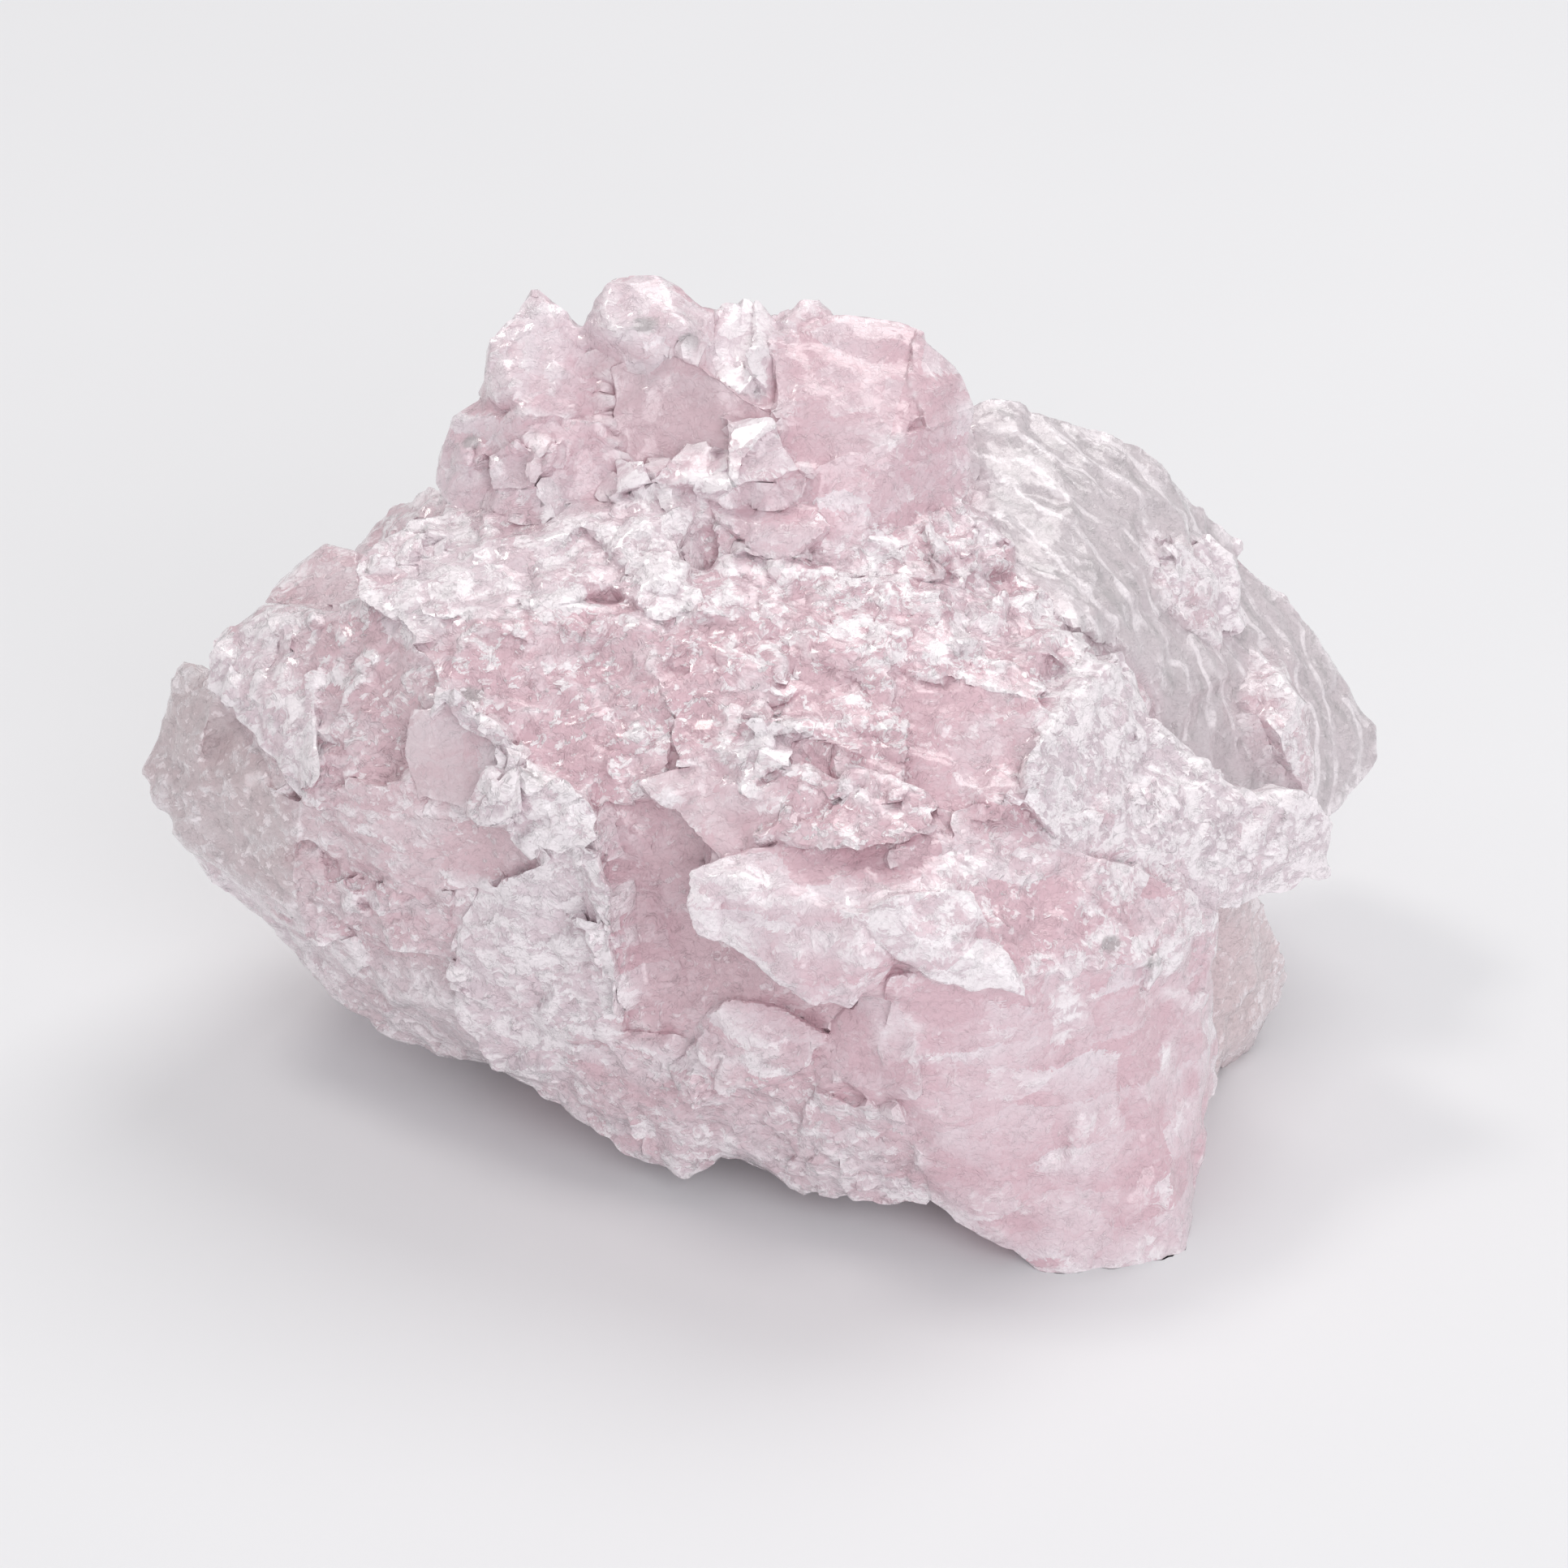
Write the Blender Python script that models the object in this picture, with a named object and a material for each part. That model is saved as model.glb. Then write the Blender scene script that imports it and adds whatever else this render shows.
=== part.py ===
"""Rose quartz crystal: one rough hand piece of crystals grown together, broken and frosted.

The piece is one solid. It is built of convex blocks. A block is a broken face, its
corners chosen one by one, that runs back into the mass and narrows on the way. The
blocks are joined, small crystals are grown over the rough zones, smooth shell-like
hollows and small pits are cut, and the base is cut flat so that the piece rests on it.

Blender 4.5, metres, +Z up. X runs along the piece, Y from its front to its back.
Run with: blender --background --python part.py
"""
import itertools
import math
import random

import bmesh
import bpy
from mathutils import Matrix, Vector

# Driving dimensions, in metres.
LENGTH = 0.064                      # the whole piece along X
DESIGN_LENGTH = 64.0                # the same length in the units of the corners below
UNIT = LENGTH / DESIGN_LENGTH       # one design unit: a millimetre at the real size

# The middle of the piece's box in the corners' frame; it comes over the origin.
CENTRE_X = 0.05
CENTRE_Y = 0.16

# The point that the blocks grow from, and the way that the broken front faces away.
HEART = Vector((0.0, 9.0, 14.0))
AWAY = Vector((0.0, 0.866, -0.5))
AWAY_SHARE = 0.7                    # the rest of a block's direction is towards the heart

GOLDEN = (math.sqrt(5.0) - 1.0) / 2.0   # a turn by this share spreads things evenly

# Each block: name, depth of its run into the mass, share of its width at the far end,
# and the corners of its broken face. Depth 0 means that the corners are the whole block.
# The mass under the broken surface, and the fractured back of the piece.
MASS_BLOCKS = (
    ("core", 0, 1, (
        (-14, 6, 29), (9, 9, 31), (10, 2.5, 26.5), (-20, 0, 25), (-10, -8, 19), (10, -10, 20),
        (19, 0, 21.5), (24, 12, 16), (-24, 4, 19), (-21, -3, 12), (-13, -3, 3.5), (6, -11, 1),
        (16, -9, -1), (20, 4, -1), (12, 15, -1), (-8, 13, -1), (-17, 5, 1.5), (-16, 15, 20),
        (8, 17.5, 24), (15, 17, 9), (-18, 13, 11)
    )),
    ("core_slope", 10, 0.92, (
        (-19, 2.5, 28), (-15.5, 5, 29.5), (-3, 4, 30.5), (10, 5, 29.5), (14.5, 2, 25.5),
        (13.5, -5.5, 25.5), (11.5, -12, 22.5), (6, -12, 21.5), (0, -11.5, 23), (-8, -10.5, 22.5),
        (-15, -6, 25.5), (-19, -1.5, 27.5)
    )),
    ("core_front", 10, 0.9, (
        (-23, -3, 17), (-13.5, -8, 19), (-8, -10.5, 19), (2, -12.5, 18), (5.5, -15.5, 13),
        (5.5, -15.5, 6), (-2, -12, 4), (-7.5, -9.5, 3.5), (-12.5, -6.5, 4.5), (-17, -3, 3.5),
        (-23, 0, 6.5)
    )),
    ("core_right", 10, 0.9, (
        (6.5, -13.5, 20.5), (14, -10.5, 19), (20, -8, 15), (21.5, -9, 7), (20, -14.5, -1),
        (14.5, -16.5, -0.5), (8, -15.5, 2.5), (6, -16.5, 11.5)
    )),
    ("core_flank", 8, 0.9, (
        (11, 12, 29.5), (16.5, 13.5, 29), (21, 13, 26.5), (28, 12, 18), (30.5, 9.5, 13.5),
        (29, 6.5, 12), (23, 3, 15.5), (18.5, 3, 21.5), (13.5, 4, 26)
    )),
    ("back_left", 0, 1, (
        (-26, 6, 20), (-27, 10, 14), (-24, 13, 9), (-18, 17, 11), (-12, 18.5, 17), (-13, 16, 25),
        (-20, 9, 25), (-17, 10, 5), (-10, 14, 7)
    )),
    ("back_mid", 0, 1, (
        (-10, 18, 9), (-12, 17, 20), (-5, 19.5, 22), (4, 20, 19), (6, 18.5, 8), (-4, 17.5, 3.5),
        (-8, 10, 24), (4, 12, 25), (0, 10, 4)
    )),
    ("back_high", 0, 1, (
        (-15, 10, 27), (-10, 14, 29.5), (0, 15, 31.5), (9, 16.5, 29), (13, 18, 26), (5, 19, 24),
        (-8, 17, 24.5), (-16, 14, 22), (0, 8, 28), (10, 8, 28)
    )),
    ("back_right", 0, 1, (
        (5, 17, 23), (14, 19, 25), (22, 18, 21), (25, 17, 15), (19, 17.5, 7), (10, 18, 9),
        (6, 14, 12), (18, 8, 20), (16, 8, 6)
    )),
    ("front_footing", 0, 1, (
        (20, -15, -1), (14, -16, -1), (20, -5, -1), (8, -5, -1), (20, -5, 12), (8, -5, 12), (19, -11, 14)
    )),
    ("back_crown", 0, 1, (
        (-15, 10, 30), (-13, 12, 34), (-9, 13, 34), (-6, 13.5, 37), (-2, 14, 36.5), (1, 14, 35.5),
        (7, 13.5, 35.5), (10, 12, 32.5), (11, 16, 27), (-12, 16, 27), (0, 17.5, 29), (0, 6, 32)
    )),
    ("nub_root", 0, 1, (
        (18, 8, 12), (21, 8, -1), (16, 8, -1), (16, -4, 2), (23, 3, -1), (24, 4, 6), (20, -3, 12)
    )),
    ("back_foot", 0, 1, (
        (-9, 15, 7), (0, 17.5, 5), (10, 17.5, 7), (14, 14, 3), (13, 12, -1), (-7, 12, -1),
        (-12, 8, 1), (0, 8, 8)
    )),
)

# The crown: crystals grown side by side along the top.
CROWN_BLOCKS = (
    ("crown_core", 10, 0.8, (
        (-15, 8, 32), (-14, 10, 34.5), (-11.5, 10, 35.5), (-6.5, 12, 35.5), (0.5, 12, 35.5),
        (4.5, 12, 36), (8.5, 11, 35), (10, 10, 32.5), (9.5, 6, 30.5), (2, 4, 31.5),
        (-3, 4.5, 31.5), (-10, 5, 31), (-15.5, 6, 30.5)
    )),
    ("crown_spike", 7, 0.75, (
        (-14.5, 8, 35), (-13.5, 8, 38), (-12.5, 8.5, 39), (-11.5, 9, 39.5), (-10, 9, 38),
        (-8, 8, 37), (-7.5, 6, 35), (-10, 4.5, 35.5), (-12, 4.5, 35.5), (-14, 6, 35)
    )),
    ("crown_left", 8, 0.8, (
        (-16.5, 6.5, 32), (-15.5, 6, 34.5), (-14.5, 7, 35), (-12, 4.5, 35.5), (-8, 4.5, 35),
        (-7, 3.5, 32.5), (-10, 3, 31.5), (-15.5, 4, 30.5), (-16.5, 5.5, 31)
    )),
    ("crown_left_crystal", 4, 0.8, (
        (-14, 4, 33.5), (-12, 3.5, 35), (-10.5, 3, 33.5), (-11.5, 2, 32.5), (-13.5, 3, 32)
    )),
    ("crown_left_flake", 4, 0.7, (
        (-7.5, 3.5, 33.5), (-6, 3, 34), (-5.5, 2, 33), (-7.5, 2, 32.5)
    )),
    ("crown_knob", 6, 0.8, (
        (-9, 8, 37.5), (-9, 8.5, 38.5), (-8.5, 9, 39.5), (-7.5, 9.5, 40.5), (-6.5, 10, 40.5),
        (-5.5, 10, 40.5), (-3, 9, 39), (-2.5, 7, 38), (-6, 6, 38), (-8, 7, 37.5), (-8, 7, 39.5),
        (-4, 6.5, 39.5)
    )),
    ("crown_face", 8, 0.85, (
        (-8, 6.5, 37.5), (-6, 6.5, 38.5), (-3, 5.5, 38.5), (0.5, 4.5, 36), (0.5, 3.5, 34.5),
        (-2, 3, 34), (-7, 4, 33.5), (-8, 5, 35.5)
    )),
    ("crown_prism_1", 5, 0.8, (
        (-2.5, 9.5, 38.5), (-2, 10, 39), (-1.5, 10, 39), (-1.5, 7, 37), (-2.5, 7.5, 37.5)
    )),
    ("crown_prism_2", 5, 0.8, (
        (-1.5, 10.5, 38.5), (-1, 10.5, 39), (-0.5, 10.5, 38.5), (-0.5, 6.5, 37), (-1.5, 7, 37)
    )),
    ("crown_prism_3", 5, 0.8, (
        (-0.5, 10, 39), (0, 10, 38.5), (0.5, 9.5, 38), (0.5, 5.5, 35.5), (-1, 6, 37.5)
    )),
    ("crown_nub", 5, 0.8, (
        (0.5, 10, 38), (1.5, 10.5, 39), (2.5, 10.5, 39), (3, 10.5, 38.5), (3, 10, 37.5),
        (2, 7, 37), (0.5, 7.5, 37)
    )),
    ("crown_right", 8, 0.8, (
        (0.5, 8, 38), (3, 9.5, 38.5), (4.5, 10, 38), (6.5, 10, 38), (8, 9.5, 37.5), (8.5, 9, 37),
        (8.5, 7, 35.5), (6.5, 3.5, 34.5), (2.5, 2.5, 33.5), (0.5, 4.5, 36)
    )),
    ("crown_right_step", 7, 0.8, (
        (7.5, 9, 38), (9, 9, 36.5), (9.5, 8.5, 36), (10, 8, 35), (10.5, 7.5, 34.5), (8, 4.5, 34.5),
        (7, 6.5, 36.5)
    )),
    ("crown_right_low", 8, 0.85, (
        (2.5, 2.5, 34), (6.5, 3.5, 34.5), (10.5, 7.5, 34.5), (10, 5.5, 31), (9.5, 4.5, 30),
        (6, 1, 29), (2.5, 0, 29.5), (1.5, 2, 32.5)
    )),
    ("crown_blade", 5, 0.75, (
        (-2, 4, 35.5), (0, 3.5, 36), (0.5, 3, 35), (2, 1.5, 34), (0.5, 1, 33.5), (-1.5, 1.5, 33.5)
    )),
    ("crown_fold", 5, 0.8, (
        (-5.5, 2, 33.5), (-4.5, 3.5, 34), (-3, 3.5, 34), (-3, 2, 33), (-4, 1.5, 33),
        (-5.5, 2, 32.5)
    )),
    ("crown_sill", 4, 0.8, (
        (-3.5, 1.5, 32.5), (-3.5, 2, 33), (-1, 2, 33.5), (-0.5, 1.5, 33.5), (-2.5, 1, 32.5)
    )),
    ("saddle", 6, 0.9, (
        (-3, 2, 32), (2, 2.5, 32.5), (3, 0, 31.5), (0.5, -1, 30), (-2.5, 0.5, 31.5)
    )),
)

# The frosted shelf under the crown, with its terraces.
SHELF_BLOCKS = (
    ("shelf", 9, 0.9, (
        (-16, 4, 30.5), (-10, 4, 31), (-3, 2.5, 32.5), (-4, 0.5, 31), (-5.5, -1.5, 30),
        (-9.5, -4, 29.5), (-14, -5, 29), (-16.5, -4, 29), (-17.5, -0.5, 30)
    )),
    ("shelf_corner", 7, 0.8, (
        (-20.5, -0.5, 29.5), (-20, 0.5, 30), (-18.5, 2, 30), (-16, 3.5, 30.5), (-13.5, -0.5, 30),
        (-15, -6, 28), (-17.5, -5, 28.5), (-20, -3, 29)
    )),
    ("shelf_block", 4, 0.8, (
        (-10, 1, 31), (-8.5, 2, 31), (-7, 1.5, 31), (-7, -0.5, 30), (-8.5, -1.5, 30),
        (-9, -0.5, 30.5)
    )),
    ("shelf_lip", 5, 0.8, (
        (-7.5, 0, 30.5), (-6, 0.5, 31), (-4.5, 0.5, 31), (-3.5, -4, 29.5), (-5, -5, 29),
        (-6, -4.5, 29.5), (-5.5, -2, 30.5), (-8, -2.5, 30), (-8.5, -1.5, 30)
    )),
    ("terrace_1", 7, 0.85, (
        (-2.5, 1, 31), (2, 1.5, 31), (7, 2.5, 30.5), (10, 5, 30.5), (12, 3, 28), (10, 0, 28),
        (4, -1, 29), (-2, -1, 29.5)
    )),
    ("terrace_2", 7, 0.85, (
        (-4, -3, 29.5), (-2, -1, 30), (5.5, -1.5, 29.5), (12, 2, 28), (15, 0, 26.5),
        (14, -3, 26.5), (6, -4, 28), (0.5, -5, 28), (-3.5, -4.5, 28.5)
    )),
    ("terrace_3", 7, 0.85, (
        (0, -3.5, 29), (2, -3, 29), (6, -5.5, 28), (14, -2, 27), (15.5, -1, 25.5), (13.5, -7, 26),
        (7.5, -7, 27.5), (5, -6.5, 27.5), (1.5, -5.5, 28)
    )),
    ("terrace_flap", 4, 0.7, (
        (6.5, 0.5, 29.5), (8, 2, 30), (11, 2.5, 29), (12, 2, 28.5), (9.5, 0, 29)
    )),
)

# The pink slope below the shelf.
SLOPE_BLOCKS = (
    ("slope_left", 8, 0.85, (
        (-17.5, -4.5, 28.5), (-14, -5, 29), (-6, -3.5, 29.5), (-4.5, -6, 28.5), (-5, -11, 24),
        (-8, -12, 22.5), (-11.5, -10, 24.5), (-15.5, -7.5, 26.5)
    )),
    ("slope_mid", 8, 0.85, (
        (-7, -4, 29.5), (0.5, -5, 28.5), (5.5, -6, 28), (7, -10, 25.5), (6, -13.5, 23),
        (0, -13, 23.5), (-3.5, -11.5, 24.5)
    )),
    ("slope_right", 8, 0.85, (
        (5.5, -5.5, 28), (13.5, -7.5, 26.5), (14, -8, 25.5), (12, -11, 24.5), (12, -13.5, 23),
        (6, -14, 22), (6, -9.5, 25.5)
    )),
    ("slope_knob", 5, 0.75, (
        (-3, -9, 26), (-1, -8.5, 26.5), (1.5, -10, 26), (1, -12, 25), (-1.5, -12.5, 24),
        (-3, -11, 25)
    )),
    ("slope_ridge", 5, 0.75, (
        (-0.5, -13, 23.5), (2, -12, 25), (6, -12.5, 24.5), (8.5, -13.5, 23.5), (6, -15, 23),
        (2, -15, 22.5), (0, -14.5, 22.5)
    )),
)

# The left end, with its clear tip.
LEFT_BLOCKS = (
    ("left_block", 9, 0.8, (
        (-28, 2, 24), (-25, 3, 25.5), (-20.5, -1.5, 28), (-16.5, -5.5, 28), (-15.5, -7, 26.5),
        (-13.5, -9, 24), (-14, -10.5, 21), (-23, -6, 19), (-25.5, -2, 21)
    )),
    ("left_inner", 9, 0.9, (
        (-25, -2.5, 17.5), (-23, -5, 19), (-14.5, -9.5, 21), (-13.5, -9, 16), (-15.5, -8, 11),
        (-22.5, -4.5, 10.5), (-25.5, -2, 11.5)
    )),
    ("left_cheek", 7, 0.85, (
        (-23, -5.5, 19.5), (-18.5, -8.5, 22), (-14, -10, 22), (-9.5, -12, 20), (-13.5, -10, 16.5),
        (-18, -8, 16), (-23, -4, 15)
    )),
    ("left_rim", 6, 0.8, (
        (-23.5, -4.5, 14), (-20.5, -6.5, 15.5), (-15.5, -9, 16), (-15.5, -9, 12), (-18, -8, 12),
        (-22, -5.5, 11.5), (-23.5, -4.5, 12)
    )),
    ("left_lens", 4, 0.8, (
        (-17, -7.5, 25.5), (-15.5, -8, 26), (-13.5, -10, 24.5), (-13.5, -10.5, 23),
        (-14.5, -11, 21.5), (-17, -9.5, 21.5), (-17.5, -8.5, 23.5)
    )),
    ("left_crust", 5, 0.8, (
        (-28, 1, 24), (-26.5, 2, 25), (-25, 2, 26), (-22.5, 0, 26.5), (-22, -3.5, 24.5),
        (-22, -6.5, 21.5), (-23, -6, 20), (-28, 0.5, 22.5)
    )),
    ("left_tip", 8, 0.75, (
        (-29.5, 4, 21.5), (-28.5, 3.5, 21.5), (-25, -1, 20.5), (-25, -3, 19), (-23, -4, 18.5),
        (-23.5, -4, 12), (-26.5, -1.5, 12), (-29.5, 1, 13), (-31.5, 2, 15), (-32, 3, 16),
        (-31, 4, 18)
    )),
    ("left_tip_facet", 5, 0.8, (
        (-26, -2, 18.5), (-25, -3, 19), (-23, -5, 19), (-23.5, -5, 13), (-26, -2.5, 14.5)
    )),
    ("back_bit", 7, 0.8, (
        (-25.5, 6, 24), (-25, 8, 24.5), (-23.5, 8, 25.5), (-22.5, 8, 26.5), (-21, 7, 26.5),
        (-20.5, 3, 25.5)
    )),
    ("under_strip", 6, 0.8, (
        (-29.5, 2, 12), (-26.5, -0.5, 12), (-23.5, -4, 12), (-19, -7, 12), (-21, -4, 8),
        (-23.5, -1, 6.5), (-27, 1, 10)
    )),
    ("under_left", 7, 0.8, (
        (-23.5, -1, 6.5), (-20.5, -5, 10.5), (-15.5, -8.5, 12), (-15.5, -8, 9), (-14, -7, 5.5),
        (-14, -5, 3), (-17, -3, 2.5), (-19.5, -2, 3.5), (-22.5, -0.5, 5)
    )),
    ("vein_1", 4, 0.7, (
        (-16.5, -7.5, 26.5), (-15.5, -8, 27), (-13.5, -10, 26), (-11.5, -11, 25.5),
        (-12, -11, 24.5), (-14, -10, 25)
    )),
    ("vein_2", 4, 0.75, (
        (-13.5, -11, 24.5), (-11.5, -12, 25.5), (-11.5, -13, 23), (-13, -12.5, 22),
        (-14.5, -11, 21.5), (-13.5, -11, 23)
    )),
    ("vein_3", 5, 0.75, (
        (-12, -12.5, 22.5), (-10, -12, 24.5), (-8, -13, 23), (-8, -14, 22), (-10, -13.5, 21),
        (-11.5, -12.5, 20.5), (-12.5, -12, 21)
    )),
)

# The front: recess, overhanging nose and the block that stands on the floor.
FRONT_BLOCKS = (
    ("white_lobe", 8, 0.8, (
        (-14, -10, 17), (-11.5, -12, 19.5), (-9.5, -13, 21), (-8, -13.5, 20), (-7, -12.5, 10),
        (-7, -12, 8), (-10, -10, 5.5), (-15.5, -9, 12), (-15.5, -9, 9.5), (-14, -8.5, 6),
        (-12.5, -8, 4.5)
    )),
    ("white_lobe_edge", 4, 0.8, (
        (-9.5, -13, 21), (-8, -14, 21.5), (-7.5, -14.5, 19), (-7, -14, 13), (-7.5, -13.5, 11.5),
        (-9, -13, 16.5)
    )),
    ("heart", 8, 0.9, (
        (-8, -11, 21.5), (-6, -11, 23.5), (2.5, -15.5, 14), (5.5, -16, 15.5), (6, -16.5, 11.5),
        (2, -15, 10.5), (-7, -12, 9)
    )),
    ("tongue", 5, 0.85, (
        (-6, -12, 24), (-3.5, -11.5, 24.5), (0, -13, 24), (2.5, -14.5, 22.5), (-2.5, -14.5, 21.5)
    )),
    ("nose", 7, 0.7, (
        (-3.5, -16.5, 20.5), (-3.5, -16, 21.5), (-2, -15, 22), (2.5, -14.5, 22.5), (6, -15, 22),
        (8, -17.5, 21), (4.5, -19, 21), (4.5, -19.5, 17.5), (4, -19.5, 16), (2.5, -19, 16.5),
        (2.5, -19, 17.5), (-3, -17, 19)
    )),
    ("scale", 5, 0.75, (
        (4.5, -18.5, 21), (6, -18.5, 21.5), (9.5, -17.5, 21), (10, -18.5, 19.5), (12, -19.5, 17),
        (9.5, -19.5, 17.5), (8, -19.5, 18), (6, -19, 19), (5, -19, 20)
    )),
    ("front_cap", 9, 0.85, (
        (6, -15.5, 22), (8.5, -13.5, 22.5), (12, -12.5, 22), (16, -12, 20), (20.5, -9.5, 16.5),
        (22, -8.5, 14.5), (22, -9.5, 11.5), (18, -15, 15.5), (12, -18, 17), (8, -17, 20.5)
    )),
    ("front_block", 12, 0.85, (
        (6, -18.5, 17), (11.5, -18, 17.5), (17.5, -15, 15.5), (22, -9.5, 12.5), (22.5, -9, 7),
        (21, -14.5, 0.5), (20.5, -16.5, -0.5), (19.5, -17, -0.5), (14.5, -18, -0.5), (12, -18, 1),
        (8, -17, 3), (5.5, -18, 12.5)
    )),
    ("front_chip", 5, 0.8, (
        (20, -11.5, 7.5), (22, -9.5, 7), (22.5, -10, 5.5), (22, -10, 4.5), (21, -11.5, 5),
        (20, -12, 6.5)
    )),
    ("front_side_crystal", 4, 0.75, (
        (19.5, -13, 13), (21.5, -11, 11.5), (22, -10, 7.5), (20, -12, 8.5), (19, -13.5, 11)
    )),
    ("rim_left", 8, 0.8, (
        (-12.5, -8, 4.5), (-10, -9, 4), (-8.5, -10, 2.5), (-6, -11, 1.5), (-4, -12, 1.5),
        (-2.5, -12.5, 2.5), (-1.5, -14, 7), (-3.5, -13.5, 10), (-7.5, -12.5, 10.5),
        (-10.5, -10.5, 8.5)
    )),
    ("rim_mid", 8, 0.8, (
        (-3.5, -14, 7.5), (-2.5, -12.5, 3), (-1, -13, 3), (0.5, -13.5, 2), (2, -14, 2.5),
        (8, -16.5, 2.5), (8.5, -18.5, 12), (2, -16, 12), (-2, -14.5, 10.5)
    )),
    ("rim_fold", 4, 0.75, (
        (-3.5, -14, 10.5), (2, -16, 12.5), (2.5, -17, 11), (1, -16, 9.5), (-4, -14, 7.5),
        (-4.5, -13.5, 8.5)
    )),
    ("rim_edge", 5, 0.75, (
        (2.5, -16.5, 9.5), (7, -18, 8.5), (7.5, -17.5, 6), (5.5, -16, 4), (2, -15, 4),
        (1.5, -15.5, 6.5)
    )),
)

# The right end: frosted wing, weathered grey flank and the foot behind.
RIGHT_BLOCKS = (
    ("wing_root", 8, 0.75, (
        (13.5, -8, 25.5), (14, -5.5, 25.5), (15.5, -3, 26), (17.5, -2, 26), (18.5, -2.5, 24),
        (19.5, -4.5, 22), (19, -8, 20), (16.5, -11, 19.5), (14, -12.5, 21), (12, -12.5, 23),
        (12.5, -11.5, 25)
    )),
    ("wing_arm", 7, 0.8, (
        (18, -4, 23), (22.5, -5, 19), (24.5, -5, 19), (24, -7, 14.5), (21, -8.5, 16),
        (19, -10, 18.5), (16.5, -11, 19.5), (15, -8.5, 22.5)
    )),
    ("wing_end", 6, 0.75, (
        (21.5, -6, 19), (23, -5, 19), (25, -4.5, 19), (26.5, -4.5, 19), (28, -4, 17),
        (28, -4, 15.5), (27.5, -4.5, 14), (26, -5.5, 14), (24, -7, 14), (22.5, -8, 14.5),
        (20.5, -9, 16.5)
    )),
    ("wing_crest", 4, 0.75, (
        (18.5, -3.5, 23.5), (20, -3.5, 22), (22.5, -4, 19.5), (23, -4.5, 19), (19.5, -6.5, 21),
        (17.5, -5, 23)
    )),
    ("flank_top", 9, 0.8, (
        (10, 8, 29.5), (10.5, 12.5, 32), (11.5, 13, 32), (14.5, 13.5, 31), (17, 14, 29.5),
        (19.5, 14, 28.5), (21.5, 14, 26.5), (22, 9, 24.5), (18.5, 3, 23), (15, 0.5, 26),
        (12, 3, 27.5)
    )),
    ("flank_mid", 8, 0.8, (
        (16, 10, 27.5), (21.5, 14, 26.5), (23.5, 14.5, 24), (26, 14, 20.5), (25.5, 7, 18),
        (22, 1.5, 16), (18.5, 1.5, 21), (18, 2, 23.5), (14.5, 3, 26)
    )),
    ("flank_end", 9, 0.75, (
        (23, 14, 24.5), (25, 14, 22), (28, 13.5, 19.5), (29.5, 13, 16.5), (31, 12, 15),
        (32, 11, 14), (32, 10, 13), (31, 8.5, 12), (29, 6, 11.5), (23, 1.5, 15), (20.5, 1, 17.5),
        (21.5, 5.5, 22)
    )),
    ("flank_rim", 5, 0.75, (
        (23.5, 14.5, 24), (26, 14.5, 20.5), (28, 14, 19), (30, 13, 16), (31, 12, 14.5),
        (29, 9.5, 15.5), (26.5, 10.5, 19), (24, 12, 22)
    )),
    ("flank_blob", 4, 0.75, (
        (22, 10.5, 25), (23, 12, 25), (24, 11, 24), (25, 9.5, 21), (24.5, 8, 21), (22, 7, 22),
        (22.5, 9, 23)
    )),
    ("flank_wave", 4, 0.75, (
        (11, 8.5, 29.5), (14.5, 10.5, 30), (18.5, 11.5, 28), (20.5, 11, 26), (18, 9, 26.5),
        (14, 7.5, 28)
    )),
    ("nub", 8, 0.8, (
        (20, -5, 14.5), (25, 1, 9.5), (26.5, 3, 5), (27, 3.5, 3.5), (26.5, 3, 2.5), (25.5, 2, 1),
        (24, 1, -0.5), (23, -2, 1.5)
    )),
)

ALL_BLOCKS = (MASS_BLOCKS + CROWN_BLOCKS + SHELF_BLOCKS + SLOPE_BLOCKS + LEFT_BLOCKS
              + FRONT_BLOCKS + RIGHT_BLOCKS)

# Zones rough with small crystals: block, how many grow on it, and their mean size.
ROUGH_ZONES = (
    ("crown_spike", 3, 2.0), ("crown_left", 4, 1.9), ("crown_right", 2, 1.8),
    ("crown_right_low", 3, 2.0), ("shelf", 4, 2.2), ("shelf_corner", 4, 2.0),
    ("terrace_1", 4, 2.2), ("terrace_2", 5, 2.1), ("terrace_3", 5, 2.1),
    ("slope_left", 6, 2.4), ("slope_mid", 7, 2.3), ("slope_right", 3, 2.0),
    ("slope_ridge", 4, 2.0), ("left_block", 4, 2.3), ("left_cheek", 4, 2.2),
    ("left_crust", 4, 2.0), ("vein_3", 3, 1.7), ("white_lobe", 4, 2.0),
    ("nose", 3, 2.0), ("front_cap", 4, 2.4), ("rim_left", 3, 2.4),
    ("rim_mid", 4, 2.4), ("front_block", 4, 2.8), ("wing_root", 4, 2.0),
    ("wing_arm", 4, 1.9), ("wing_end", 3, 1.8), ("flank_top", 4, 2.8), ("flank_end", 4, 2.8),
)
CRYSTAL_SEED = 11

# Coarser blocks over the broken back: they sit on an egg-shaped shell, evenly spread in
# the angle round the piece (0 is +X, 90 is the back) and in height over the shell's middle.
BACK_SHELL_MIDDLE = (1.0, 5.0, 15.0)
BACK_SHELL_RADII = (26.0, 12.3, 13.5)
BACK_BLOCKS = 26
BACK_BLOCK_SIZE = 5.2
BACK_ANGLES = (12.0, 172.0)
BACK_RISES = (-40.0, 52.0)
BACK_SEED = 3

# No two blocks share a corner exactly: each corner is off by up to this much.
CORNER_PLAY = 0.12
CORNER_SEED = 5

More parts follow.
